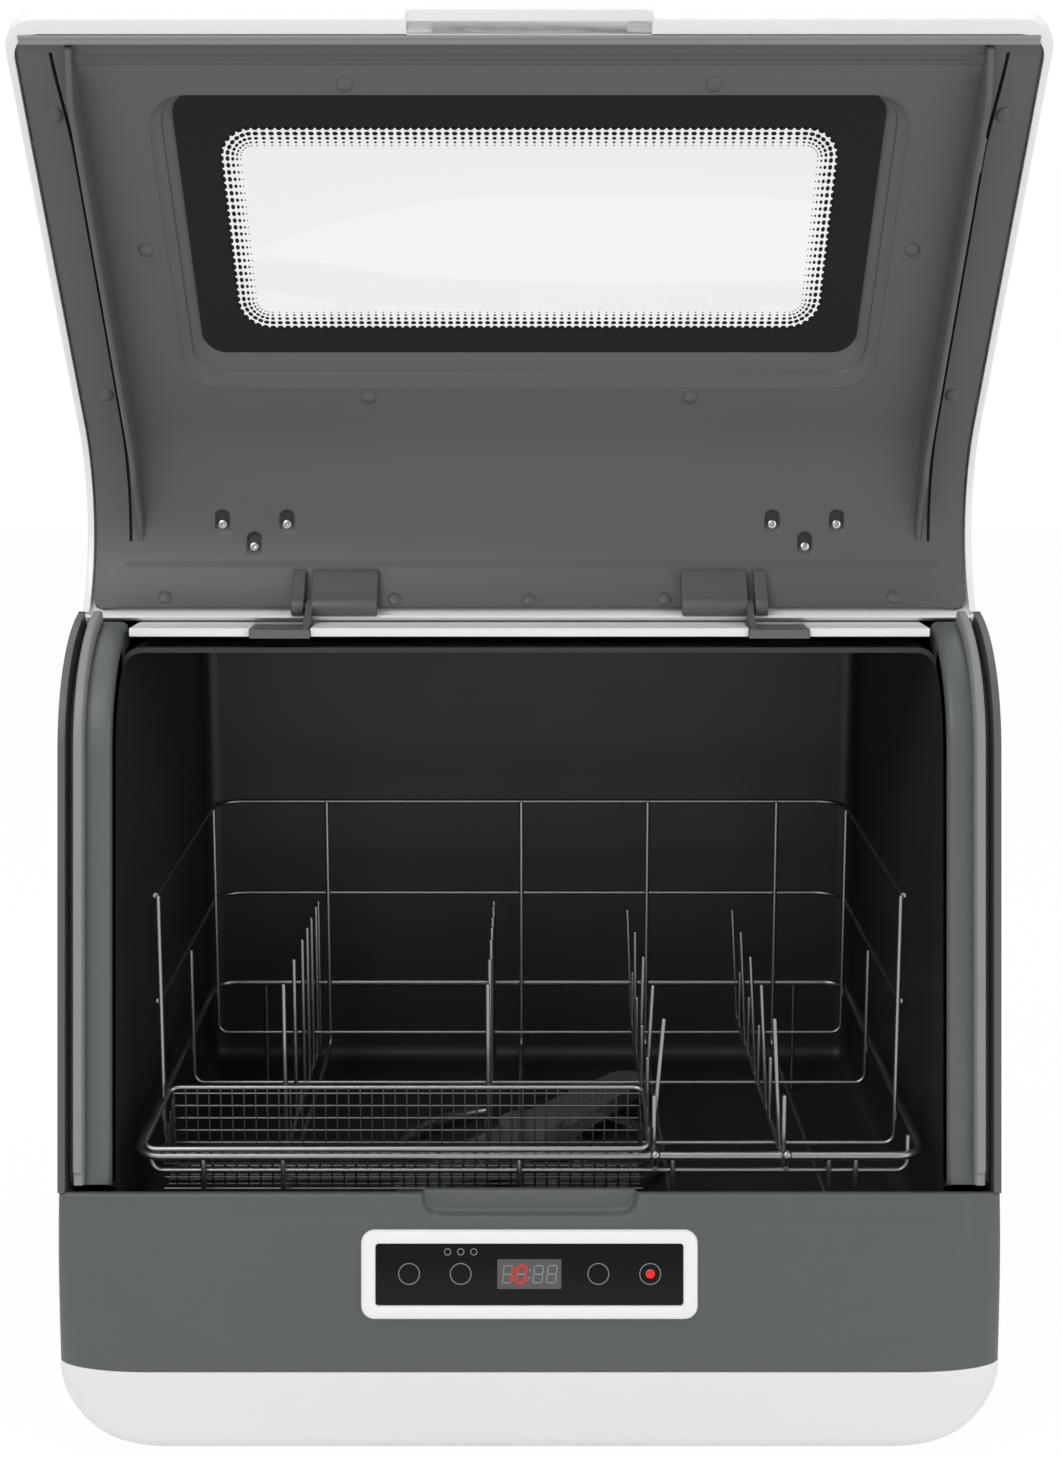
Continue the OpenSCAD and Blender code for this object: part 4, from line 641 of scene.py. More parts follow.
# ---- meshes ----------------------------------------------------------------------------
class Draft:
    """Collects the points and faces of one piece before it becomes an object."""

    def __init__(self) -> None:
        """Starts empty."""
        self.points: list[Vector] = []
        self.faces: list[tuple[int, ...]] = []

    def add(self, points: Sequence[Vector], faces: Sequence[Sequence[int]]) -> None:
        """Adds loose points and faces.

        Args:
            points: Points in the frame's metres.
            faces: Faces by the numbers of these points.
        """
        start = len(self.points)
        self.points += [Vector(p) for p in points]
        self.faces += [tuple(start + i for i in face) for face in faces]

    def grid(self, rows: Sequence[Sequence[Vector]], ring: bool = False, loop: bool = False,
             caps: bool = False) -> None:
        """Adds a sheet of quads.

        Args:
            rows: Rows of points of one length.
            ring: Whether each row closes on itself.
            loop: Whether the last row joins the first.
            caps: Whether the first and last rows are filled in.
        """
        n, m = len(rows), len(rows[0])
        faces: list[tuple[int, ...]] = []
        for i in range(n if loop else n - 1):
            for j in range(m if ring else m - 1):
                k, l = (i + 1) % n, (j + 1) % m
                faces.append((i * m + j, i * m + l, k * m + l, k * m + j))
        if caps:
            faces.append(tuple(range(m - 1, -1, -1)))
            faces.append(tuple((n - 1) * m + j for j in range(m)))
        self.add([p for row in rows for p in row], faces)

    def slab(self, outline: Sequence[Flat], x0: float, x1: float) -> None:
        """Adds an outline in Y and Z, extruded across."""
        self.grid([[place(x, y, z) for y, z in outline] for x in (x0, x1)], ring=True, caps=True)

    def plate(self, outline: Sequence[Flat], at: At, levels: Sequence[Flat]) -> None:
        """Adds a flat outline built up in levels.

        Args:
            outline: The outline in the plate's own plane.
            at: Turns the plate's x, y and height into a point.
            levels: Height and inset of each level, in order.
        """
        rows = []
        for height, inset in levels:
            rows.append([at(*shrunk, height) for shrunk in inset_points(outline, inset)])
        self.grid(rows, ring=True, caps=True)

    def wire(self, path: Sequence[Vector], radius: float, sides: int = 14, closed: bool = False,
             flat: float = 1.0) -> None:
        """Adds a round bar along a path.

        Args:
            path: The path in body millimetres.
            radius: Its radius.
            sides: Its sides.
            closed: Whether the path joins up.
            flat: Share of its height that is left.
        """
        n = len(path)
        ahead = [(path[(i + 1) % n] - path[i - 1]) if closed or 0 < i < n - 1
                 else path[min(i + 1, n - 1)] - path[max(i - 1, 0)] for i in range(n)]
        ahead = [d.normalized() for d in ahead]
        side = ahead[0].cross(Vector((0, 0, 1)))
        side = side.normalized() if side.length > 0.1 else Vector((1, 0, 0))
        rows = []
        for i, d in enumerate(ahead):
            side = (side - d * side.dot(d)).normalized()
            up = d.cross(side)
            rows.append([place(*(path[i] + radius * (side * math.cos(a) + up * flat * math.sin(a))))
                         for a in (math.tau * k / sides for k in range(sides))])
        self.grid(rows, ring=True, loop=closed, caps=not closed)

    def rod(self, a: Sequence[float], b: Sequence[float], radius: float, sides: int = 14,
            domed: bool = False) -> None:
        """Adds a straight bar.

        Args:
            a: Its first end in body millimetres.
            b: Its last end.
            radius: Its radius.
            sides: Its sides.
            domed: Whether the last end is a half ball.
        """
        a, b = Vector(a), Vector(b)
        d = (b - a).normalized()
        side = d.cross(Vector((0, 0, 1)))
        side = side.normalized() if side.length > 0.05 else Vector((1, 0, 0))
        up = d.cross(side)
        ends = [(a, radius), (b, radius)]
        if domed:
            ends = [(a, radius)] + [(b - d * radius * (1 - math.sin(w)), radius * math.cos(w))
                                    for w in (math.radians(g) for g in (0, 25, 50, 75, 88))]
        rows = [[place(*(c + r * (side * math.cos(w) + up * math.sin(w))))
                 for w in (math.tau * k / sides for k in range(sides))] for c, r in ends]
        self.grid(rows, ring=True, caps=True)

    def lathe(self, profile: Sequence[Flat], at: At, sides: int = 40) -> None:
        """Adds a turned shape.

        Args:
            profile: Radius and height of each ring.
            at: Turns x, y and height into a point.
            sides: Its sides.
        """
        turn = [math.tau * k / sides for k in range(sides)]
        rows = [[at(r * math.cos(a), r * math.sin(a), h) for a in turn] for r, h in profile]
        self.grid(rows, ring=True, caps=True)

    def piece(self, name: str, stuff: Stuff, body: str, nodes: Sequence[str] = (),
              bevel: float = 0.0, segments: int = 2, thick: float = 0.0, sharp: float = 40.0,
              cuts: Sequence["Draft"] = (), weld: bool = False, slot: str = "") -> None:
        """Turns the draft into a dressed object that rides on a body.

        Args:
            name: The piece's name.
            stuff: Its finish.
            body: The body it rides on.
            nodes: The nodes it stands for.
            bevel: Width of its rounded edges, in millimetres.
            segments: Steps across a rounded edge.
            thick: Wall that a sheet is given, inward, in millimetres; below nought it goes outward.
            sharp: Edges past this angle stay crisp, in degrees.
            cuts: Closed drafts that are cut out.
            weld: Whether points that meet are joined.
            slot: Not used.
        """
        obj = self.raw(name, weld)
        if thick:
            put_modifier(obj, "SOLIDIFY", thickness=thick * MM, offset=-1.0, use_even_offset=True)
        for i, cutter in enumerate(cuts):
            tool = cutter.raw(f"{name}_cut_{i}", False)
            put_modifier(obj, "BOOLEAN", operation="DIFFERENCE", solver="EXACT", object=tool)
            bake(obj)
            bpy.data.objects.remove(tool)
        if bevel:
            put_modifier(obj, "BEVEL", width=bevel * MM, segments=segments, limit_method="ANGLE",
                         angle_limit=math.radians(35), use_clamp_overlap=True,
                         miter_outer="MITER_ARC")
        bake(obj)
        mesh = obj.data
        mesh.polygons.foreach_set("use_smooth", [True] * len(mesh.polygons))
        mesh.set_sharp_from_angle(angle=math.radians(sharp))
        mesh.materials.clear()
        mesh.materials.append(Finishes.of(stuff))
        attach(obj, body)
        if nodes:
            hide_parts(*nodes)
        LOG.info("%s: %d faces on %s", name, len(mesh.polygons), body)

    def raw(self, name: str, weld: bool) -> bpy.types.Object:
        """Makes a bare object with outward normals.

        Args:
            name: Its name.
            weld: Whether points that meet are joined.

        Returns:
            The object.
        """
        mesh = bpy.data.meshes.new(name)
        mesh.from_pydata([tuple(p) for p in self.points], [], self.faces)
        work = bmesh.new()
        work.from_mesh(mesh)
        if weld:
            bmesh.ops.remove_doubles(work, verts=work.verts, dist=0.02 * MM)
        bmesh.ops.recalc_face_normals(work, faces=work.faces)
        work.to_mesh(mesh)
        work.free()
        obj = bpy.data.objects.new(name, mesh)
        bpy.context.scene.collection.objects.link(obj)
        return obj


def inset_points(outline: Sequence[Flat], inset: float) -> list[Flat]:
    """Moves an anticlockwise outline inward, each point along its own bisector.

    Args:
        outline: The outline.
        inset: How far.

    Returns:
        The moved points.
    """
    if not inset:
        return list(outline)
    n = len(outline)
    out = []
    for i, (x, y) in enumerate(outline):
        ax, ay = outline[i - 1]
        bx, by = outline[(i + 1) % n]
        dx, dy = bx - ax, by - ay
        size = math.hypot(dx, dy) or 1.0
        out.append((x - dy / size * inset, y + dx / size * inset))
    return out


def put_modifier(obj: bpy.types.Object, kind: str, **settings: object) -> None:
    """Adds a modifier with its settings.

    Args:
        obj: The object.
        kind: The modifier's type.
        **settings: Its properties.
    """
    modifier = obj.modifiers.new(kind.lower(), kind)
    for name, value in settings.items():
        setattr(modifier, name, value)


def bake(obj: bpy.types.Object) -> None:
    """Applies an object's modifiers to its mesh.

    Args:
        obj: The object.
    """
    if not obj.modifiers:
        return
    graph = bpy.context.evaluated_depsgraph_get()
    mesh = bpy.data.meshes.new_from_object(obj.evaluated_get(graph))
    obj.modifiers.clear()
    obj.data = mesh


RIM = Rim(BODY, LID)


def plan_ring(half: float, front: float, back: float, corner: Flat, z: float,
              across: Sequence[float] = (), shift: Callable[[float], float] | None = None,
              steps: int = 10) -> list[Vector]:
    """A level ring of the casing: four oval corners and a straight front.

    Args:
        half: Half its width.
        front: Y of its front.
        back: Y of its back.
        corner: Width and depth of each corner.
        z: Its height.
        across: Places along the front, as shares of the straight part from -1 to 1.
        shift: How far the front moves forward at a place X.
        steps: Steps in each corner.

    Returns:
        The ring's points.
    """
    wide, deep = corner
    x, yf, yb = half - wide, front + deep, back - deep
    flat = []
    for cx, cy, start in ((x, yf, -90), (x, yb, 0), (-x, yb, 90), (-x, yf, 180)):
        quarter = arc((0, 0), 1.0, start, start + 90, steps)
        flat += [(cx + wide * c, cy + deep * n) for c, n in quarter]
    flat += [(share * x, front) for share in across]
    moved = []
    for px, py in flat:
        near = shift(px) if shift and py < front + 1e-6 else 0.0
        moved.append(place(px, py - near, z))
    return moved


def rim_stations(start: float, end: float, step: float = 3.0) -> list[float]:
    """Places along the rim, close together where it rounds over.

    Args:
        start: First place.
        end: Last place.
        step: Spacing on the round part.

    Returns:
        The places.
    """
    if end <= RIM.flat:
        return stations([(start, 0), (end, 25.0)])
    return stations([(start, 0), (RIM.flat, 25.0), (end, step)])


def rim_sweep(draft: Draft, profile: Sequence[Flat], start: float, end: float,
              side: int = 1) -> None:
    """Adds a bar of one cross-section that follows the rim.

    Args:
        draft: The draft it goes into.
        profile: X and distance outside the rim, round the section.
        start: Where it starts along the rim.
        end: Where it ends.
        side: 1 on the right, -1 on the left.
    """
    rows = [[place(side * x, *RIM.point(t, s)) for x, s in profile]
            for t in rim_stations(start, end)]
    draft.grid(rows, ring=True, caps=True)


# ---- cabinet ---------------------------------------------------------------------------
@dataclass
class Base:
    """The white tray with rounded lower corners, and the feet under it."""

    bottom: float = 1.5
    curve: Flat = (58.0, 40.0)
    edge: float = 7.0
    foot_radius: float = 13.0
    foot_x: float = 130.0
    foot_y: Flat = (50.0, 306.0)
    steps: int = 18

    def inset(self, z: float, wide: float, high: float) -> float:
        """How far an oval edge of the tray has drawn in at a height."""
        down = max(0.0, (self.bottom + high - z) / high)
        return wide * (1 - math.sqrt(1 - (down * 0.985) ** 2))

    def ring(self, z: float, grow: float, height: float) -> list[Vector]:
        """One level ring of the tray.

        Args:
            z: Height that sets its size.
            grow: Wall taken off.
            height: Height that it is drawn at.

        Returns:
            The ring's points.
        """
        side = self.inset(z, *self.curve) - self.inset(BODY.base, *self.curve)
        edge = self.inset(z, self.edge, self.edge) + grow
        foot = -(BODY.front - BODY.base) * math.tan(RIM.rake)
        wide = max(BODY.corner[0] - side, self.edge)
        deep = max(BODY.corner[1] * (1 - math.sqrt(1 - (wide / BODY.corner[0]) ** 2)), 2.0)
        return plan_ring(BODY.width / 2 + BODY.flare - side - grow, foot + edge, BODY.depth - edge,
                         (wide, deep), height, steps=14)

    def tray(self) -> None:
        """Makes the tray as a thin shell with a rolled bottom edge."""
        draft = Draft()
        span = BODY.base - self.bottom
        levels = [BODY.base - span * math.sin(math.radians(90 * i / self.steps))
                  for i in range(self.steps, -1, -1)]
        outer = [self.ring(z, 0.0, z) for z in levels]
        outer.insert(0, self.ring(self.bottom, 1.5, self.bottom))
        inner = [self.ring(z, BODY.wall, max(z, self.bottom + BODY.wall)) for z in reversed(levels)]
        draft.grid(outer + inner, ring=True, caps=True)
        draft.piece("base_tray_shell", Stuff.WHITE_ABS, "cabinet", ["base_tray"], sharp=50,
                    slot="white_abs")

    def feet(self) -> None:
        """Makes four turned rubber feet with a ribbed tread."""
        draft = Draft()
        r = self.foot_radius
        core = r * 0.55
        profile = [(core, 1.1), (core, 0.0), (r - 1.2, 0.0), (r - 0.3, 0.3), (r, 1.2), (r, 2.9),
                   (r * 0.5, 2.95)]
        for x in (-self.foot_x, self.foot_x):
            for y in self.foot_y:
                draft.lathe(profile, level_at(x, y, 0.0))
        draft.piece("feet", Stuff.RUBBER, "cabinet", ["rubber_feet"], slot="rubber_black")

    def build(self) -> None:
        """Builds the base."""
        self.tray()
        self.feet()


@dataclass
class Housing:
    """The grey casing: front belt with its raised field, side walls, back and white top."""

    field_half: float = 195.0
    field_drop: float = 68.0
    field_radius: float = 61.0
    field_raise: Flat = (0.7, 0.6)
    pocket: Flat = (96.0, 10.0)
    pocket_deep: float = 4.8
    edge: float = 1.2
    scallop: float = 9.6
    lip_y: float = 68.0
    lip_drop: float = 4.0
    trough_half: float = 183.6
    chamfer: float = 10.5
    cover: float = 2.5
    # the drain's hole: X, Z and radius
    drain: Point = (-130.0, 66.0, 11.1)
    # the mains inlet's opening: X and Z, then width and height
    mains_at: Flat = (128.0, 72.0)
    mains: Flat = (30.4, 24.4)
    # the tank's neck: X, Y and radius
    neck: Point = (-60.0, 336.0, 15.2)
    # the gap in the lip for each bracket: its middle and half its width
    gap: Flat = (114.5, 14.0)

    def relief(self, x: float, v: float) -> float:
        """Height of the front's surface above its plane.

        Args:
            x: Place across.
            v: Distance below the top edge.

        Returns:
            The height, negative in the finger recess.
        """
        tall = 100.0
        inside = -box_distance(x, v - (self.field_drop - tall) / 2, 2 * self.field_half,
                               self.field_drop + tall, self.field_radius)
        rise = self.field_raise[0] + self.field_raise[1] * ramp(v, 8.0, 14.0)
        return rise * ramp(inside, -1.2, 1.2) - self.recess(x, v)

    def recess(self, x: float, v: float) -> float:
        """Depth of the finger recess.

        Args:
            x: Place across.
            v: Distance below the top edge.

        Returns:
            The depth.
        """
        w, h = self.pocket
        inside = -box_distance(x, v - (h - 30) / 2, w, h + 30, 8.0)
        return self.pocket_deep * ramp(inside, -0.4, 1.5)

    def belt_row(self, z: float, grow: float, across: Sequence[float]) -> list[Vector]:
        """One level ring of the belt.

        Args:
            z: Its height.
            grow: Wall taken off.
            across: Shares of the front.

        Returns:
            The ring's points.
        """
        f = (z - BODY.base) / (BODY.front - BODY.base)
        share = math.sin(math.radians(90 * min(f, 1.0)))
        corner = [max(c + (BODY.corner_top - c) * share - grow, 1.0) for c in BODY.corner]
        v = (BODY.front - z) / math.cos(RIM.rake)
        foot = -(BODY.front - z) * math.tan(RIM.rake)
        if grow < BODY.wall - 0.6:
            def shift(x: float) -> float:
                """The front's relief, on the outer skin."""
                return self.relief(x, v)
        else:
            def shift(x: float) -> float:
                """The finger recess alone, on the inner skin."""
                return -self.recess(x, v)
        half = BODY.width / 2 + BODY.flare * (1 - f) - grow
        return plan_ring(half, foot + grow, BODY.depth - grow, (corner[0], corner[1]), z, across,
                         shift, steps=8)

    def belt(self) -> None:
        """Makes the belt: one shell whose front carries the field, the crease and the recess."""
        # columns close together at the recess, rows at the recess and round the field
        reach = 206
        half = stations([(0, 0), (44, 4.0), (52, 0.5), (130, 4.0), (reach, 2.0)])
        across = [x / reach for x in mirrored(half)][1:-1]
        top, base = BODY.front, BODY.base
        heights = stations([(base + 0.3, 0), (base + 6, 3.0), (top - 62, 1.6), (top - 14, 4.0),
                            (top - 7, 0.5), (top - self.edge, 1.5)])
        rows = [self.belt_row(z, 0.0, across) for z in heights]
        for a in (30, 60, 90):
            w = math.radians(a)
            down, inward = self.edge * (1 - math.sin(w)), self.edge * (1 - math.cos(w))
            rows.append(self.belt_row(top - down, inward, across))
        rows.append(self.belt_row(top, BODY.wall - 0.5, across))
        rows += [self.belt_row(z, BODY.wall, across)
                 for z in (top - 0.5, top - 8, top - 12, base + 0.3)]
        draft = Draft()
        draft.grid(rows, ring=True, loop=True)
        rear = BODY.depth - 20
        x, z, radius = self.drain
        drain = Draft()
        drain.lathe([(radius, 0), (radius, 40)], rear_at(x, rear, z))
        x, z = self.mains_at
        mains = Draft()
        mains.plate(round_rect(*self.mains, 1.0, 2), rear_at(x, rear, z), [(0, 0), (40, 0)])
        draft.piece("front_belt", Stuff.GREY_ABS, "cabinet", ["lower_housing"],
                    cuts=[drain, mains], sharp=60, slot="grey_abs")

    def side_outline(self) -> list[Flat]:
        """Outline of a side wall, with the scallop that clears the lid's hinge end.

        Returns:
            Y and Z of its points.
        """
        front = [RIM.point(t) for t in rim_stations(1.0, RIM.length - self.scallop, 2.0)]
        bite = arc(RIM.hinge, self.scallop, 184.5, 361.0, 24)
        low = BODY.front + 0.2
        return ([(0.0, low)] + front + bite
                + [(BODY.depth - 3.0, BODY.side), (BODY.depth, BODY.side - 3.0), (BODY.depth, low)])

    def sides(self) -> None:
        """Makes the two side walls with rounded front edges."""
        outer, inner = BODY.width / 2, BODY.width / 2 - BODY.panel
        for name, x0, x1 in (("left", -outer, -inner), ("right", inner, outer)):
            draft = Draft()
            draft.slab(self.side_outline(), x0, x1)
            draft.piece(f"side_wall_{name}", Stuff.GREY_ABS, "cabinet", [f"side_panel_{name}"],
                        bevel=1.1, segments=3, slot="grey_abs")

    def cover_outline(self, grow: float) -> list[Flat]:
        """Section of the white top cover.

        Args:
            grow: Wall taken off.

        Returns:
            Y and Z of its points.
        """
        front = RIM.hinge[0] + LID.root + LID.room[0]
        top = BODY.side + LID.root
        low = BODY.side + (0.3 if not grow else -2.0)
        rear = arc((BODY.depth - 5.5, top - 5.5), 5.5 - grow, 90, 0, 8)
        back = front + self.chamfer
        if grow:
            return ([(back + grow, low), (back + grow, top - grow)] + rear
                    + [(BODY.depth - grow, low)])
        nose = arc((back + 2.0, top - 2.0), 2.0, 135, 90, 3)
        return [(back - LID.root, low)] + nose + rear + [(BODY.depth, low)]

    def top(self) -> None:
        """Makes the white top cover with its hole for the tank's neck."""
        half = BODY.width / 2
        cover = Draft()
        cover.slab(self.cover_outline(0.0), -half, half)
        hollow = Draft()
        hollow.slab(self.cover_outline(self.cover), -half + self.cover, half - self.cover)
        x, y, radius = self.neck
        neck = Draft()
        neck.lathe([(radius, 0), (radius, 40)], level_at(x, y, BODY.side - 10), 48)
        cover.piece("top_shell", Stuff.WHITE_ABS, "cabinet", ["top_cover"], bevel=1.2, segments=3,
                    cuts=[hollow, neck], slot="white_abs")

    def trough(self) -> None:
        """Makes the trough under the lid's hinge and the bright lip that hangs in the mouth."""
        hinge_y, hinge_z = RIM.hinge
        floor = hinge_z - LID.root - LID.room[1]
        front = hinge_y + LID.root + LID.room[0]
        back = front + self.chamfer
        top = BODY.side + LID.root
        wall, lip = self.cover, self.lip_y
        section = [(lip, floor - self.lip_drop), (lip, floor), (front, floor),
                   (front, hinge_z - 2.9), (back, top - 0.4), (back + wall, top - 0.4),
                   (back + wall, top - wall), (front + wall, hinge_z - 3.6),
                   (front + wall, floor - wall), (lip + wall, floor - wall),
                   (lip + wall, floor - self.lip_drop)]
        trough = Draft()
        trough.slab(section, -self.trough_half, self.trough_half)
        middle, half = self.gap
        gaps = []
        for side in (-1, 1):
            gap = Draft()
            gap.slab([(lip - 1, floor - 20), (hinge_y, floor - 20), (hinge_y, floor + 20),
                      (lip - 1, floor + 20)], side * middle - half, side * middle + half)
            gaps.append(gap)
        trough.piece("mouth_lip", Stuff.WHITE_ABS, "cabinet", ["top_cover"], bevel=0.5, cuts=gaps,
                     slot="white_abs")

    def build(self) -> None:
        """Builds the casing."""
        self.belt()
        self.sides()
        self.top()
        self.trough()


@dataclass
class WashTub:
    """The dark tub, the grey frames round its mouth and the seals on them."""

    fillet: float = 9.0
    mouth_s: float = -7.3
    seal: Flat = (198.5, 203.0)
    seal_top: float = 1.4
    frame_s: float = -4.0
    lip_front: float = 70.0
    roof_drop: float = 9.2
    # how far before the hinge the frames and seals end
    stop: float = 10.6
    # the sump's hole in the floor: radius and Y
    well: Flat = (48.0, 135.0)

    def path(self, grow: float) -> list[Flat]:
        """Side section of the tub's inside.

        Args:
            grow: How far it is moved inward.

        Returns:
            Y and Z from the front wall's top round to the roof's front.
        """
        r = BODY.tub_radius
        front, back, floor = BODY.tub_front, BODY.tub_back, BODY.tub_floor
        top = RIM.hinge[1] - LID.root - LID.room[1] - self.roof_drop - BODY.tub_wall
        near = max(r - grow, 2.0)
        more = max(grow - r + 2.0, 0.0)
        out = [(front + grow, BODY.front - 5)]
        for cy, cz, a in ((front + r + more, floor + r + more, 180),
                          (back - r - more, floor + r + more, 270),
                          (back - r - more, top - r - more, 0)):
            out += arc((cy, cz), near, a, a + 90, 6)
        return out + [(self.lip_front, top - grow)]

    def basin(self) -> None:
        """Makes the tub as one skin with filleted side walls."""
        steps = 6
        turn = [math.radians(90 * i / steps) for i in range(steps + 1)]
        right = [(BODY.tub_half - self.fillet * (1 - math.sin(a)), self.fillet * (1 - math.cos(a)))
                 for a in turn]
        xs = [(-x, g) for x, g in reversed(right)] + right
        rows = [[place(x, y, z) for y, z in self.path(g)] for x, g in xs]
        draft = Draft()
        draft.grid(rows)
        mouth = [RIM.point(t, self.mouth_s) for t in rim_stations(2.0, RIM.length, 4.0)]
        mouth = [p for p in mouth if BODY.tub_front - BODY.tub_wall < p[0] < self.lip_front]
        for side in (-1, 1):
            wall = [place(side * BODY.tub_half, y, z)
                    for y, z in self.path(self.fillet) + mouth[::-1]]
            draft.add(wall, [tuple(range(len(wall)))])
        well = Draft()
        radius, middle = self.well
        well.lathe([(radius, 0), (radius, 30)], level_at(0, middle, BODY.tub_floor - 20), 64)
        draft.piece("tub_shell", Stuff.TUB, "cabinet", ["tub"], thick=-BODY.tub_wall, cuts=[well],
                    weld=True, sharp=50, slot="tub_liner")

    def frames(self) -> None:
        """Makes the grey frame down each side of the mouth."""
        end = RIM.length - self.stop
        inner, outer = BODY.tub_half, BODY.width / 2 - BODY.panel - 0.2
        far = self.seal[1]
        r = 3
        edge = [(inner + r - r * math.cos(w), self.frame_s - r + r * math.sin(w))
                for w in (math.radians(a) for a in (0, 22, 45, 67, 90))]
        section = ([(inner, -15.0)] + edge + [(far + 0.2, self.frame_s), (far + 0.3, -9.0),
                   (outer, -9.0), (outer, -11.0), (far - 2.0, -11.0), (inner + 2.4, -8.0),
                   (inner + 2.4, -15.0)])
        for name, side in (("left", -1), ("right", 1)):
            draft = Draft()
            rim_sweep(draft, section, 3.0, end, side)
            draft.piece(f"mouth_frame_{name}", Stuff.FRAME, "cabinet", [f"opening_frame_{name}"],
                        bevel=0.3, sharp=50, slot="frame_grey")

    def seals(self) -> None:
        """Makes the light strips that the lid closes on."""
        draft = Draft()
        a, b = self.seal
        # low under the lid's own strip, then full height
        low, step = -0.1, 9.3
        runs = ((low, 3.5, step), (self.seal_top, step, RIM.length - self.stop))
        for side in (-1, 1):
            for top, start, end in runs:
                section = [(a, self.frame_s), (a, top - 1.0), (a + 0.7, top), (b - 0.7, top),
                           (b, top - 1.0), (b, self.frame_s)]
                rim_sweep(draft, section, start, end, side)
        draft.piece("mouth_seals", Stuff.SEAL, "cabinet", ["side_seals"], bevel=0.25, slot="seal")

    def build(self) -> None:
        """Builds the tub and what frames it."""
        self.basin()
        self.frames()
        self.seals()


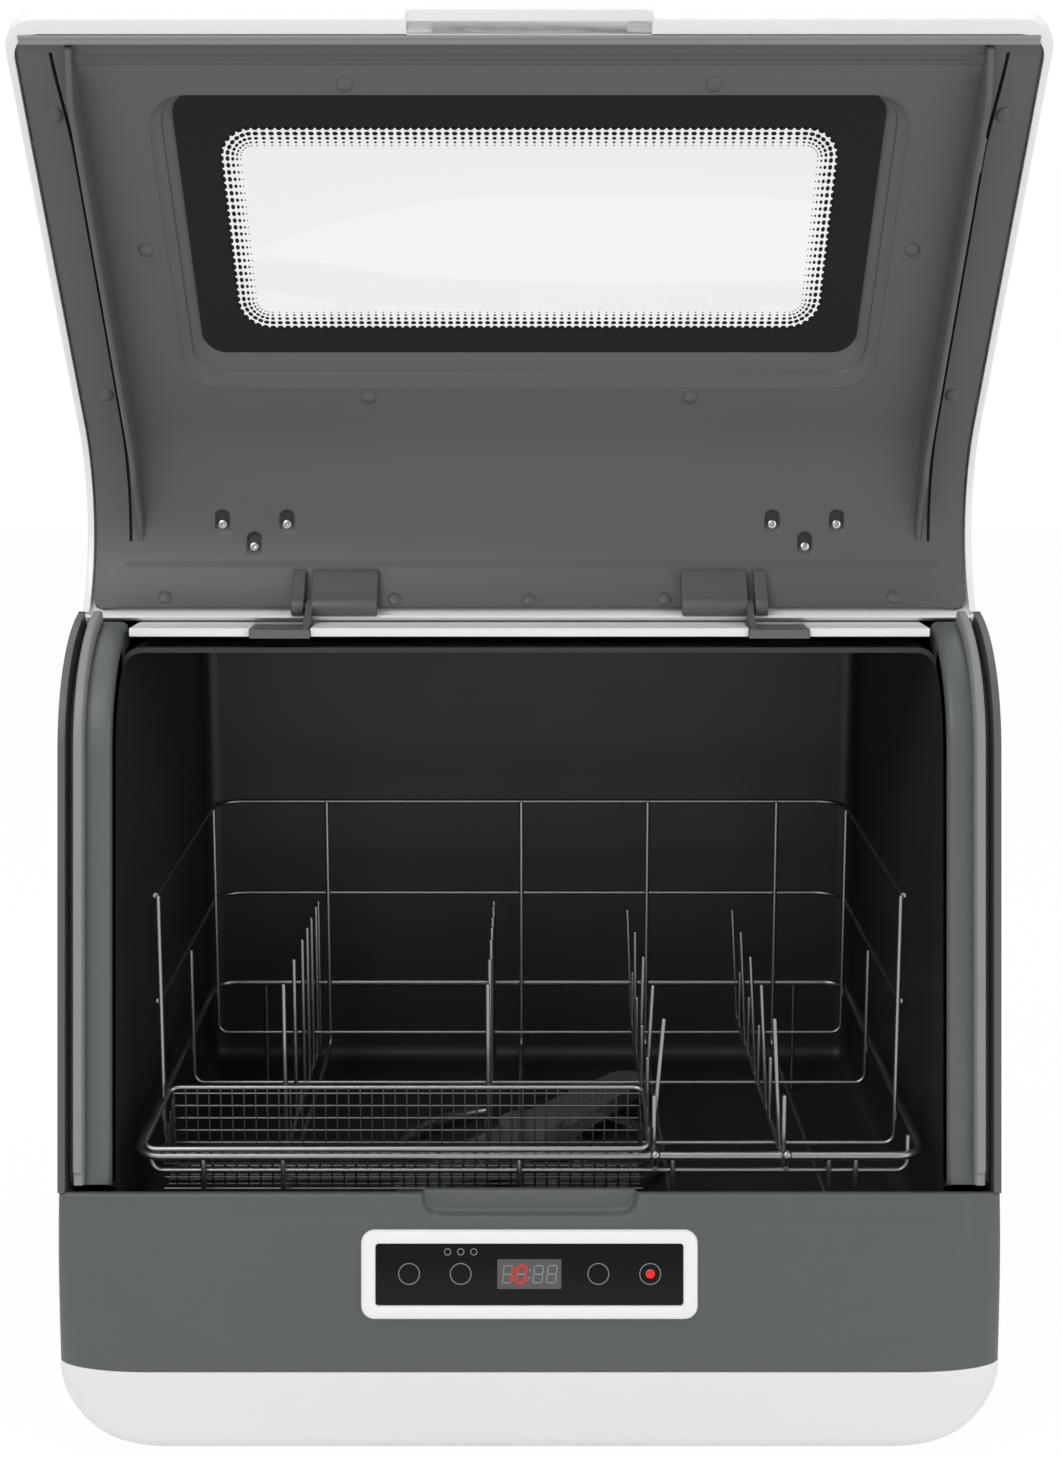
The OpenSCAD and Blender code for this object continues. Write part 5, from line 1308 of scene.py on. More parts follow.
@dataclass
class ControlPanel:
    """White surround, black touch plate with its rings, and the four-digit display."""

    size: Flat = (149.5, 39.6)
    drop: float = 15.6
    plate: Flat = (136.6, 27.5)
    display: Flat = (28.4, 13.2)
    raised: float = 3.4
    face: float = 2.3
    ring_x: tuple[float, ...] = (-53.4, -30.5, 30.6, 53.6)
    dots_x: tuple[float, ...] = (-36.3, -30.5, -24.7)
    digit: Flat = (4.0, 7.6)
    slant: float = 0.12
    # rings: middle above the panel's, outer radius, width of the line
    big_ring: Point = (0.3, 4.8, 0.34)
    small_ring: Point = (10.1, 1.55, 0.32)
    lens: float = 2.1
    lens_rise: float = 0.5

    # bars of each figure: top, top left, top right, middle, low left, low right, low
    FIGURES = {"0": "1110111", "1": "0010010", "8": "1111111", "-": "0001000", "E": "1101101"}
    # place, figure and half a bar's width of what is lit and of what is not
    LIT = ((-9.6, "1", 0.62), (-3.6, "0", 0.62))
    UNLIT = ((-9.6, "E", 0.24), (-3.6, "-", 0.3), (3.9, "8", 0.24), (9.9, "8", 0.24))

    def at(self, x: float, v: float, w: float) -> Vector:
        """A point on the panel."""
        return place(x, *RIM.point(-self.drop - self.size[1] / 2 + v, w))

    def window_at(self, x: float, v: float, w: float) -> Vector:
        """A point on the display, which sits a little above the panel's middle."""
        return self.at(x, v + 0.2, w)

    def surround(self) -> None:
        """Makes the white frame."""
        outer = round_rect(*self.size, 6.0, 10)
        inner = round_rect(*self.plate, 1.5, 10)
        levels = [(outer, w, inset) for w, inset in ((0.2, 0.0), (2.2, 0.0), (3.0, 0.5),
                                                     (self.raised, 1.5))]
        levels += [(inner, w, inset) for w, inset in ((self.raised, -1.0), (3.0, -0.2),
                                                      (2.4, 0.0), (0.2, 0.0))]
        rows = [[self.at(x, v, w) for x, v in inset_points(outline, inset)]
                for outline, w, inset in levels]
        draft = Draft()
        draft.grid(rows, ring=True, loop=True)
        draft.piece("panel_surround", Stuff.PANEL_WHITE, "cabinet", ["control_frame"], sharp=35,
                    slot="control_white")

    def touch(self) -> None:
        """Makes the black plate and the grey rings printed on it."""
        draft = Draft()
        draft.plate(round_rect(self.plate[0] - 0.2, self.plate[1] - 0.2, 1.4, 6), self.at,
                    [(-1.5, 0), (self.face - 0.5, 0), (self.face - 0.1, 0.2), (self.face, 0.6)])
        draft.piece("touch_face", Stuff.TOUCH, "cabinet", ["touch_plate"], slot="touch_black")
        rings = Draft()
        for x in self.ring_x:
            self.ring(rings, x, *self.big_ring)
        for x in self.dots_x:
            self.ring(rings, x, *self.small_ring)
        rings.piece("touch_rings", Stuff.PRINT, "cabinet", slot="touch_black")

    def ring(self, draft: Draft, x: float, v: float, radius: float, line: float) -> None:
        """Adds a printed ring.

        Args:
            draft: The draft.
            x: Its centre across.
            v: Its centre up.
            radius: Outer radius.
            line: Width of the line.
        """
        steps, ink = 40, 0.06
        turn = [math.tau * k / steps for k in range(steps)]
        inner = radius - line
        rows = [[self.at(x + r * math.cos(a), v + r * math.sin(a), self.face + w) for a in turn]
                for r, w in ((radius, 0.0), (radius, ink), (inner, ink), (inner, 0.0))]
        draft.grid(rows, ring=True, loop=True)

    def bar(self, draft: Draft, a: Flat, b: Flat, half: float) -> None:
        """Adds one pointed bar of a figure.

        Args:
            draft: The draft.
            a: Its first end.
            b: Its last end.
            half: Half its width.
        """
        size = math.dist(a, b)
        dx, dy = (b[0] - a[0]) / size * half, (b[1] - a[1]) / size * half
        (ax, ay), (bx, by) = a, b
        outline = [(ax, ay), (ax + dx + dy, ay + dy - dx), (bx - dx + dy, by - dy - dx),
                   (bx, by), (bx - dx - dy, by - dy + dx), (ax + dx - dy, ay + dy + dx)]
        draft.plate([(x + self.slant * y, y) for x, y in outline], self.window_at,
                    [(self.face + 0.14, 0), (self.face + 0.2, 0)])

    def figure(self, draft: Draft, x: float, bars: str, half: float) -> None:
        """Adds a seven-bar figure.

        Args:
            draft: The draft.
            x: Its middle.
            bars: Which bars are there.
            half: Half the width of its bars.
        """
        w, h = self.digit[0] / 2, self.digit[1] / 2
        g = 0.15
        places = [((-w + g, h), (w - g, h)), ((-w, h - g), (-w, g)), ((w, h - g), (w, g)),
                  ((-w + g, 0), (w - g, 0)), ((-w, -g), (-w, -h + g)), ((w, -g), (w, -h + g)),
                  ((-w + g, -h), (w - g, -h))]
        for there, (a, b) in zip(bars, places):
            if there == "1":
                self.bar(draft, (a[0] + x, a[1]), (b[0] + x, b[1]), half)

    def readout(self) -> None:
        """Makes the display: a grey window with two lit figures and two unlit ones."""
        window = Draft()
        window.plate([(x - 0.05, v) for x, v in round_rect(*self.display, 0.4, 2)], self.window_at,
                     [(self.face - 1.0, 0), (self.face + 0.1, 0), (self.face + 0.14, 0.1)])
        window.piece("display_window", Stuff.DISPLAY, "cabinet", ["display_module"],
                     slot="display_grey")
        lit, pale = Draft(), Draft()
        for draft, figures in ((lit, self.LIT), (pale, self.UNLIT)):
            for x, digit, half in figures:
                self.figure(draft, x, self.FIGURES[digit], half)
        for v in (-1.6, 1.8):
            self.bar(pale, (-0.35, v), (0.65, v), 0.5)
        lit.piece("figures_lit", Stuff.LIT, "cabinet", slot="lamp_red")
        pale.piece("figures_unlit", Stuff.PRINT, "cabinet", slot="display_grey")

    def lamp(self) -> None:
        """Makes the small red lamp."""
        draft = Draft()
        r, rise = self.lens, self.lens_rise
        dome = [(r, -0.6), (r, self.face)]
        dome += [(r * math.cos(w), self.face + rise * math.sin(w))
                 for w in (math.radians(a) for a in (25, 50, 75, 88))]
        draft.lathe(dome, lambda a, b, h: self.at(self.ring_x[3] + a, self.big_ring[0] + b, h), 24)
        draft.piece("power_light", Stuff.LAMP, "cabinet", ["power_lamp"], slot="lamp_red")

    def build(self) -> None:
        """Builds the panel."""
        self.surround()
        self.touch()
        self.readout()
        self.lamp()


# ---- lid -------------------------------------------------------------------------------
@dataclass
class Lid:
    """The open lid: white shell, grey liner with its ribs, window, seal and small parts."""

    edge: float = 4.5
    flange: float = 6.5
    liner_half: float = 205.8
    liner_s: float = 2.0
    liner_from: float = 4.0
    liner_to: float = 287.0
    rib_x: Flat = (183.2, 186.2)
    rib_t: Flat = (9.5, 254.0)
    rib_depth: float = 14.0
    slot_x: float = 189.6
    slot_t: Flat = (12.4, 254.0)
    screws: tuple[Flat, ...] = ((146.0, 246.4), (115.4, 246.4), (131.0, 256.5))
    plugs: tuple[Flat, ...] = ((194.9, 39.8), (75.0, 26.3), (166.0, 104.0), (74.0, 182.6),
                               (194.4, 180.9), (172.0, 282.0), (63.5, 283.0))
    middle_plug: float = 283.4
    plug_radius: float = 3.3
    screw_radius: float = 2.1
    seal_half: float = 204.0
    # the hinge boxes' two parts, from and to X, with the bracket's slot between them
    box_x: tuple[Flat, ...] = ((71.3, 102.3), (105.6, 111.7))
    arm_slot: Flat = (104.0, 1.7)
    shell_wall: float = 1.5
    liner_wall: float = 1.2
    clear: Flat = (259.0, 98.8)
    clear_drop: float = 1.9

    # each level of the window's frame: half width, both ends along the rim, corner radius, depth
    BEZEL = ((157.5, 30.6, 177.6, 16.0, 1.95), (157.1, 30.8, 177.2, 15.8, 2.25),
             (156.4, 31.0, 176.2, 15.5, 2.6), (152.4, 31.3, 170.6, 14.0, 3.7),
             (151.9, 31.35, 169.9, 13.8, 4.7), (150.2, 31.4, 167.2, 13.0, 4.9),
             (149.6, 31.5, 166.3, 12.6, 5.2), (148.3, 31.6, 163.8, 11.6, 5.7),
             (147.7, 31.7, 162.4, 11.0, 6.3), (147.5, 31.8, 160.8, 10.5, 6.85))
    # rows of printed dots: inset, and the two radii of each dot
    DOTS = ((0.1, 1.3, 0.9), (2.55, 1.2, 0.9), (4.75, 0.9, 0.68), (6.6, 0.6, 0.46),
            (8.1, 0.34, 0.27))
    dot_pitch: float = 3.33
    # the print lies between these heights under the pane
    PRINT = (-0.01, -0.08)

    @property
    def middle(self) -> float:
        """Where the window's middle lies along the rim."""
        return LID.glass_from + LID.glass[1] / 2

    def half_width(self, t: float, half: float, radius: float, start: float) -> float:
        """Half width of a plate with round corners at its free edge.

        Args:
            t: Distance along the rim.
            half: Its full half width.
            radius: Corner radius.
            start: Where it starts.

        Returns:
            The half width there.
        """
        into = t - start
        if into >= radius:
            return half
        return half - radius + math.sqrt(max(0.0, radius ** 2 - (radius - into) ** 2))

    def shell(self) -> None:
        """Makes the white shell: a crowned face, three walls and the roll at the hinge."""
        half, f = BODY.width / 2, self.edge
        end = RIM.length + RIM.roll
        start = -LID.overhang
        ts = stations([(start, 0), (start + f, 0.6), (start + LID.corner, 1.2), (20.0, 3.0),
                       (RIM.flat, 12.0), (RIM.length, 3.0), (end, 0.8)])
        cols = mirrored(stations([(0, 0), (half - 16, 14.0), (half - f, 2.4), (half, 0.5)]))
        length = 800.0

        def outside(x: float, t: float) -> float:
            """Height of the crowned face, which rounds over at its edges.

            Args:
                x: Place across.
                t: Place along the rim.

            Returns:
                The height above the rim.
            """
            d = -box_distance(x, t - start - length / 2, 2 * half, length, LID.corner)
            d = max(0.0, min(f, d))
            drop = f - math.sqrt(max(0.0, f * f - (f - d) ** 2))
            return RIM.face(t) * (1 - drop / LID.depth)

        def reach(t: float) -> float:
            """Half width of the shell at a place along the rim."""
            return self.half_width(t, half, LID.corner, start)

        top = []
        for t in ts:
            scale = reach(t) / half
            top.append([RIM.lid(c * scale, t, outside(c * scale, t)) for c in cols])
        draft = Draft()
        draft.grid(top)
        scale = reach(start) / half
        border = [(-reach(t), t) for t in reversed(ts)]
        border += [(c * scale, start) for c in cols[1:-1]]
        border += [(reach(t), t) for t in ts]

        def line(side: float, free: float, low: float | None) -> list[Vector]:
            """One line of points round the three walls.

            Args:
                side: How far it is moved in from the sides.
                free: How far it is moved in from the free edge.
                low: Its height above the rim, or None for the face's own edge.

            Returns:
                The points.
            """
            out = []
            for x, t in border:
                along = max(t, start + free)
                hw = self.half_width(along, half - side, max(LID.corner - side, 2.0), start + free)
                s = outside(x, t) if low is None else low
                out.append(RIM.lid(max(-hw, min(hw, x)), along, s))
            return out
        gap = LID.gap
        draft.grid([line(0, 0, None), line(0, 0, gap + 0.8), line(0.3, 0.3, gap + 0.2),
                    line(0.9, 0.9, gap), line(3.0, self.flange, gap)])
        hole = Draft()
        hole.plate(round_rect(LID.glass[0] - 18, LID.glass[1] - 18, 10, 8),
                   lambda x, v, w: RIM.lid(x, self.middle + v, w), [(5.0, 0), (16.0, 0)])
        cuts = [hole]
        (y, z), (middle, wide) = RIM.hinge, self.arm_slot
        ring = [RIM.opened(*p) for p in ((y - 4, z - 9), (y + 26, z - 9), (y + 26, z + 9),
                                         (y - 4, z + 9))]
        for side in (-1, 1):
            slot = Draft()
            slot.slab(ring, side * middle - wide, side * middle + wide)
            cuts.append(slot)
        draft.piece("lid_outer", Stuff.WHITE_ABS, "lid", ["lid_shell"], thick=self.shell_wall,
                    cuts=cuts, weld=True, sharp=50, slot="white_abs")

    def lip(self) -> None:
        """Makes the lip that a finger lifts the lid by."""
        draft = Draft()
        over = 2.5
        outline = round_rect(LID.lip_width, 2 * (LID.lip_reach + over), 3.5, 6)
        draft.plate(outline, lambda x, v, w: RIM.lid(x, v - LID.overhang + over, LID.gap + w),
                    [(0.0, 0.6), (0.5, 0.0), (3.0, 0.0), (3.6, 0.7)])
        draft.piece("finger_lip", Stuff.WHITE_ABS, "lid", ["lid_shell"], slot="white_abs")

    def liner_height(self, x: float, t: float) -> float:
        """Distance of the liner's face outside the rim.

        Args:
            x: Place across.
            t: Place along the rim.

        Returns:
            The distance.
        """
        s = self.liner_s
        ax = abs(x)
        # the long groove below the seal, with a crest on its far side
        within = ramp(181.5 - ax, 0.0, 2.0)
        for rise, start, end in ((1.6, 12.8, 13.4), (-0.3, 13.4, 15.8), (-0.8, 15.8, 16.6),
                                 (0.4, 17.4, 18.2), (-0.9, 18.2, 23.0)):
            s += within * rise * ramp(t, start, end)
        # the slot outside each rib
        off = abs(ax - self.slot(t))
        start, end = self.slot_t
        long = ramp(t, start, start + 0.8) * (1 - ramp(t, end - 0.8, end))
        s += 4.0 * (1 - ramp(off, 0.55, 0.75)) * long
        # scoops for the screws
        for sx, st in self.screws:
            dx, dt = ax - sx, st - t
            if abs(dx) < 5 and -6 < dt < 9:
                into = 1 - ramp(math.hypot(dx, max(0.0, dt - 3.1)), 3.0, 3.7)
                s += into * 3.2 * ramp(dt, -5.0, 3.0)
        # the roll towards the hinge
        s -= 1.1 * ramp(t, 262.0, 268.0) * ramp(196.5 - ax, 0.0, 4.0)
        return s

    def slot(self, t: float) -> float:
        """Middle of the slot outside each rib."""
        return self.slot_x + 2.9 * (1 - ramp(t, 8.0, 60.0))

    def columns(self, t: float) -> list[float]:
        """Places across the liner, close together at the slots.

        Args:
            t: Place along the rim.

        Returns:
            The places.
        """
        c = self.slot(t)
        near = [c + d for d in (-2.2, -1.3, -0.75, -0.55, 0.55, 0.75, 1.3, 2.2)]
        far = [near[-1] + (self.liner_half - near[-1]) * i / 5 for i in range(1, 6)]
        plain = stations([(0, 0), (108, 7.0), (152, 0.6), (178, 4.0), (184, 2.0)])
        return mirrored(plain + near + far)

    def liner(self) -> None:
        """Makes the grey liner with its groove, slots and screw scoops."""
        ts = stations([(self.liner_from, 0), (12.4, 1.2), (19, 0.4), (24, 1.0), (30, 2.0),
                       (150, 6.0), (RIM.flat, 6.0), (238, 5.0), (264, 0.6), (270, 1.2),
                       (self.liner_to, 1.5)])
        start, corner, foot_radius = 3.0, 5.0, 5.0
        rows = []
        for t in ts:
            half = self.half_width(t, self.liner_half, corner, start)
            foot = min(1.0, (self.liner_to - t) / foot_radius)
            half -= foot_radius * (1 - math.sqrt(max(0.0, 1 - (1 - foot) ** 2)))
            row = [RIM.lid(max(-half, min(half, x)), t, self.liner_height(x, t))
                   for x in self.columns(t)]
            edge = [RIM.lid(half, t, self.liner_s + d) for d in (0.3, 3.0)]
            back = [RIM.lid(-half, t, self.liner_s + d) for d in (3.0, 0.3)]
            rows.append(back + row + edge)
        draft = Draft()
        draft.grid(rows)
        window = Draft()
        half, t0, t1, radius, _ = self.BEZEL[0]
        window.plate(round_rect(2 * half - 0.8, t1 - t0 - 0.8, radius, 8),
                     lambda x, v, w: RIM.lid(x, (t0 + t1) / 2 + v, w), [(-4.0, 0), (12.0, 0)])
        draft.piece("lid_liner", Stuff.LINER, "lid", ["lid_inner_panel"], thick=self.liner_wall,
                    cuts=[window], sharp=45, slot="lid_liner")

    def bezel(self) -> None:
        """Makes the stepped frame that sinks to the pane."""
        def level(half: float, t0: float, t1: float, radius: float, s: float) -> list[Vector]:
            """One level of the frame, as a rounded rectangle of points."""
            outline = round_rect(2 * half, t1 - t0, radius, 8)
            return [RIM.lid(x, (t0 + t1) / 2 + v, s) for x, v in outline]
        wall = 0.8
        rows = [level(*row) for row in self.BEZEL]
        rows += [level(*row[:4], row[4] + wall) for row in reversed(self.BEZEL)]
        draft = Draft()
        draft.grid(rows, ring=True, loop=True)
        draft.piece("window_bezel", Stuff.LINER, "lid", ["lid_inner_panel"], sharp=30,
                    slot="lid_liner")

    def ribs(self) -> None:
        """Makes the two long ribs that reach into the tub when the lid is shut."""
        draft = Draft()
        (a, b), (start, end) = self.rib_x, self.rib_t
        root = self.liner_s + 1.0
        for side in (-1, 1):
            rows = []
            for t in stations([(start, 0), (40, 4.0), (RIM.flat, 20.0), (end, 3.0)]):
                rise = min(1.0, (t - start) / 22.0 + 0.25, (end + 1 - t) / 32.0)
                tip = self.liner_s - self.rib_depth * max(rise, 0.02)
                section = [(a, root), (a, tip + 1.2), (a + 0.5, tip + 0.3), (a + 1.1, tip),
                           (b - 1.1, tip), (b - 0.5, tip + 0.3), (b, tip + 1.2), (b, root)]
                rows.append([RIM.lid(side * x, t, s) for x, s in section])
            draft.grid(rows, ring=True, caps=True)
        draft.piece("liner_ribs", Stuff.LINER, "lid", ["lid_inner_panel"], sharp=50,
                    slot="lid_liner")

    def window(self) -> None:
        """Makes the pane, its black printed border and the rows of dots that fade it out."""
        def at(x: float, v: float, w: float) -> Vector:
            """A point of the pane, measured from the window's middle."""
            return RIM.lid(x, self.middle + v, LID.glass_s + w)
        pane, thick = Draft(), LID.glass_thick
        pane.plate(round_rect(*LID.glass, 8, 8), at,
                   [(0.0, 0.4), (0.3, 0), (thick - 0.3, 0), (thick, 0.4)])
        pane.piece("window_pane", Stuff.GLASS, "lid", ["window_glass"], slot="glass_clear")
        border = Draft()
        outer = inset_points(round_rect(*LID.glass, 8, 12), 0.3)
        inner = [(x, v + self.clear_drop) for x, v in round_rect(*self.clear, 14, 12)]
        near, far = self.PRINT
        rows = [[at(x, v, w) for x, v in line]
                for line, w in ((outer, near), (outer, far), (inner, far), (inner, near))]
        border.grid(rows, ring=True, loop=True)
        ring = walk(inner, self.dot_pitch)
        for i, (x, v) in enumerate(ring):
            (ax, av), (bx, bv) = ring[i - 1], ring[(i + 1) % len(ring)]
            size = math.dist((ax, av), (bx, bv))
            along = ((bx - ax) / size, (bv - av) / size)
            for inset, wide, high in self.DOTS:
                middle = (x - along[1] * inset, v + along[0] * inset)
                self.dot(border, at, middle, along, (wide, high))
        border.piece("window_print", Stuff.ENAMEL, "lid", slot="touch_black")

    def dot(self, draft: Draft, at: At, middle: Flat, along: Flat, radii: Flat) -> None:
        """Adds one printed oval dot.

        Args:
            draft: The draft.
            at: Turns the pane's x, y and height into a point.
            middle: Its place on the pane.
            along: Direction of its longer radius.
            radii: Its radii along and across.
        """
        sides = 12
        (x, v), (dx, dv) = middle, along
        oval = [(radii[0] * math.cos(a), radii[1] * math.sin(a))
                for a in (math.tau * k / sides for k in range(sides))]
        rows = [[at(x + dx * p - dv * q, v + dv * p + dx * q, w) for p, q in oval]
                for w in self.PRINT]
        draft.grid(rows, ring=True, caps=True)

    def seal(self) -> None:
        """Makes the light strip along the free edge."""
        draft = Draft()
        section = [(4.4, 2.6), (4.4, 0.6), (4.8, 0.1), (5.4, 0.0), (6.0, 0.3), (6.3, 0.3),
                   (6.9, 0.0), (7.8, 0.0), (8.3, 0.3), (8.6, 0.9), (8.6, 2.6)]
        ends = (-self.seal_half, self.seal_half)
        draft.grid([[RIM.lid(x, t, s) for t, s in section] for x in ends], ring=True, caps=True)
        draft.piece("lid_edge_seal", Stuff.SEAL, "lid", ["lid_seal"], bevel=0.2, slot="seal")

    def small_parts(self) -> None:
        """Makes the screws in their scoops and the round plugs."""
        screws, r = Draft(), self.screw_radius
        profile = [(r, -2.0), (r, 0.2), (r - 0.2, 0.8), (1.2, 1.15), (1.0, 1.15), (0.7, 0.4),
                   (0.2, 0.3)]
        for side in (-1, 1):
            for sx, st in self.screws:
                def at(a: float, b: float, h: float, x: float = side * sx, t: float = st) -> Vector:
                    """A point of one screw, its heights out of the scoop."""
                    return RIM.lid(x + a, t + b, self.liner_s + self.liner_wall - h)
                screws.lathe(profile, at, 24)
        screws.piece("liner_screws", Stuff.ZINC, "lid", ["hinge_screws"], slot="steel_zinc")
        plugs = Draft()
        for side in (-1, 1):
            for px, pt in self.plugs:
                self.plug(plugs, side * px, pt)
        self.plug(plugs, 0.0, self.middle_plug)
        plugs.piece("liner_plugs", Stuff.LINER, "lid", ["lid_plugs"], slot="lid_liner")

    def plug(self, draft: Draft, x: float, t: float) -> None:
        """Adds one domed plug.

        Args:
            draft: The draft.
            x: Its place across.
            t: Its place along the rim.
        """
        base = self.liner_height(x, t)
        r = self.plug_radius
        profile = [(r, -0.8), (r, 0.25), (r - 0.3, 0.6), (r - 1.0, 0.95), (1.2, 1.15), (0.2, 1.2)]
        draft.lathe(profile, lambda a, b, h: RIM.lid(x + a, t + b, base - h), 24)

    def covers(self) -> None:
        """Makes the box over each hinge, split by the slot that the bracket passes through."""
        draft = Draft()
        hinge = RIM.length
        ring = [(hinge - 20.5, 1.5), (hinge - 20.0, -1.6), (hinge - 18.8, -3.0),
                (hinge - 16.5, -3.7), (hinge - 8.0, -4.9), (hinge - 2.0, -5.6)]
        body = [RIM.point(t, s) for t, s in ring]
        body += arc(RIM.hinge, 5.9, 262, 352, 10)
        body += arc(RIM.hinge, 4.4, 352, 300, 3) + [RIM.point(hinge - 6, 1.0)]
        lowest = RIM.hinge[1] - 6.2
        flat = [RIM.opened(y, max(z, lowest)) for y, z in body]
        for side in (-1, 1):
            for x0, x1 in self.box_x:
                draft.slab(flat, side * x0, side * x1)
        draft.piece("hinge_boxes", Stuff.LINER, "lid", ["hinge_covers"], bevel=1.0, segments=3,
                    slot="lid_liner")

    def build(self) -> None:
        """Builds the lid."""
        self.shell()
        self.lip()
        self.liner()
        self.bezel()
        self.ribs()
        self.window()
        self.seal()
        self.small_parts()
        self.covers()


def walk(path: Sequence[Flat], pitch: float) -> list[Flat]:
    """Places at even spacing round a closed outline.

    Args:
        path: The outline.
        pitch: Wanted spacing.

    Returns:
        The places.
    """
    loop = list(path) + [path[0]]
    sides = [math.dist(a, b) for a, b in zip(loop, loop[1:])]
    total = sum(sides)
    count = round(total / pitch)
    out: list[Flat] = []
    at, i, done = 0.0, 0, 0.0
    for _ in range(count):
        while i < len(sides) - 1 and done + sides[i] < at:
            done += sides[i]
            i += 1
        share = (at - done) / sides[i] if sides[i] else 0.0
        (ax, ay), (bx, by) = loop[i], loop[i + 1]
        out.append((ax + (bx - ax) * share, ay + (by - ay) * share))
        at += total / count
    return out


# ---- wire rack and basket --------------------------------------------------------------
@dataclass
class Rack:
    """The stainless wire rack that lifts out of the tub."""

    wire: float = 1.2
    tine: float = 1.1
    rail: float = 2.0
    half: Flat = (179.0, 176.0)
    front: Flat = (20.0, 128.0)
    rear: Flat = (247.0, 143.0)
    hoop: float = 173.0
    hoop_y: Flat = (57.5, 246.0)
    hoops: tuple[Flat, ...] = ((240.0, 246.7), (189.5, 195.0))
    cross: float = 172.0
    low: float = 106.0
    floor: float = 120.0
    # Y of each wire, and the heights of its left and right ends
    cross_wires: tuple[Point, ...] = ((23.0, 130.0, 137.0), (57.5, 240.0, 240.0),
                                      (144.0, 190.0, 190.0), (228.0, 245.5, 245.5))
    long_x: tuple[float, ...] = (-112.0, -4.7, 65.0, 136.0)
    leg_x: float = 148.0
    rod_end: float = 250.0
    stub_y: Flat = (144.6, 228.6)
    # heights of the left tines, the right tines and the short ones in front of them
    tine_tops: Point = (190.0, 185.0, 153.0)
    ball: float = 2.4
    tine_y: tuple[float, ...] = (248.0, 235.0, 211.0, 190.0, 166.0, 128.0, 84.0)
    left_rows: tuple[float, ...] = (-118.0, -20.0)
    right_rows: tuple[Point, ...] = ((57.0, 5.0, -2.5), (116.5, -3.5, -3.5))
    right_y: tuple[float, ...] = (45.0, 100.0, 151.0, 200.0, 248.0)

    def rings(self) -> None:
        """Makes the thick rail and the two rings round the dishes."""
        draft = Draft()
        (ahead, behind), (y0, z0), (y1, z1) = self.half, self.front, self.rear
        rail = [Vector(p) for p in ((-ahead, y0, z0), (-behind, y1, z1), (behind, y1, z1),
                                    (ahead, y0, z0))]
        draft.wire(bent(rail, 12.0, 10, True), self.rail, 18, True)
        (y0, y1), half = self.hoop_y, self.hoop
        for z0, z1 in self.hoops:
            path = [Vector(p) for p in ((-half, y0, z0), (-half, y1, z1), (half, y1, z1),
                                        (half, y0, z0))]
            draft.wire(bent(path, 16.0, 10), self.wire)
        draft.piece("rack_hoops", Stuff.WIRE, "rack", ["rack_rings"], slot="stainless")

    def crossing(self) -> None:
        """Makes the wires that cross the floor and turn up at both sides."""
        draft = Draft()
        for y, left, right in self.cross_wires:
            path = [Vector(p) for p in ((-self.cross, y, left), (-self.cross, y, self.floor),
                                        (self.cross, y, self.floor), (self.cross, y, right))]
            draft.wire(bent(path, 5.0, 6), self.wire)
        draft.piece("rack_crossing", Stuff.WIRE, "rack", ["rack_cross_wires"], slot="stainless")

    def lengthwise(self) -> None:
        """Makes the wires that run back under the floor and up the rear, and the four legs."""
        draft = Draft()
        ahead, behind = self.front[0] + 1, self.rear[0] - 3
        for x in self.long_x:
            path = [Vector(p) for p in ((x, ahead, self.front[1]), (x, ahead, self.low),
                                        (x, behind, self.low), (x, behind, self.hoops[0][1]))]
            draft.wire(bent(path, 6.0, 6), self.wire)
        for x in (-self.leg_x, self.leg_x):
            for y, z in (self.front, self.rear):
                draft.rod((x, y, z), (x, y, BODY.tub_floor + 0.3), self.wire, domed=True)
        draft.piece("rack_lengthwise", Stuff.WIRE, "rack", ["rack_long_wires"], slot="stainless")

    def tines(self) -> None:
        """Makes the rows of tines that hold plates and bowls."""
        left, right = Draft(), Draft()
        left_top, right_top, short_top = self.tine_tops
        for x in self.left_rows:
            left.rod((x, 70, self.low), (x, self.rod_end, self.low), self.wire)
            for y in self.tine_y:
                left.rod((x, y, self.low), (x, y, left_top), self.tine, domed=True)
            for y in self.stub_y:
                left.rod((x, y, self.low), (x, y, self.floor + 0.5), self.tine)
        z = self.floor + 2.1
        ball = [(max(self.ball * math.sin(a), 0.05), -self.ball * math.cos(a))
                for a in (math.radians(g) for g in range(0, 181, 20))]
        for x, near, far in self.right_rows:
            right.rod((x, 19, z), (x, self.rod_end, z), self.wire)
            tip = (x, 18.0, 129.0)
            right.rod((x, 20.5, z), tip, self.tine)
            right.lathe(ball, level_at(*tip), 18)
            for i, y in enumerate(self.right_y):
                lean = near + (far - near) * i / 4
                right.rod((x, y, z), (x + lean, y, right_top), self.tine, domed=True)
                right.rod((x, y - 14, z), (x, y - 14, short_top), self.tine, domed=True)
        left.piece("plate_tines", Stuff.WIRE, "rack", ["rack_tines_left"], slot="stainless")
        right.piece("bowl_tines", Stuff.WIRE, "rack", ["rack_tines_right"], slot="stainless")

    def build(self) -> None:
        """Builds the rack."""
        self.rings()
        self.crossing()
        self.lengthwise()
        self.tines()


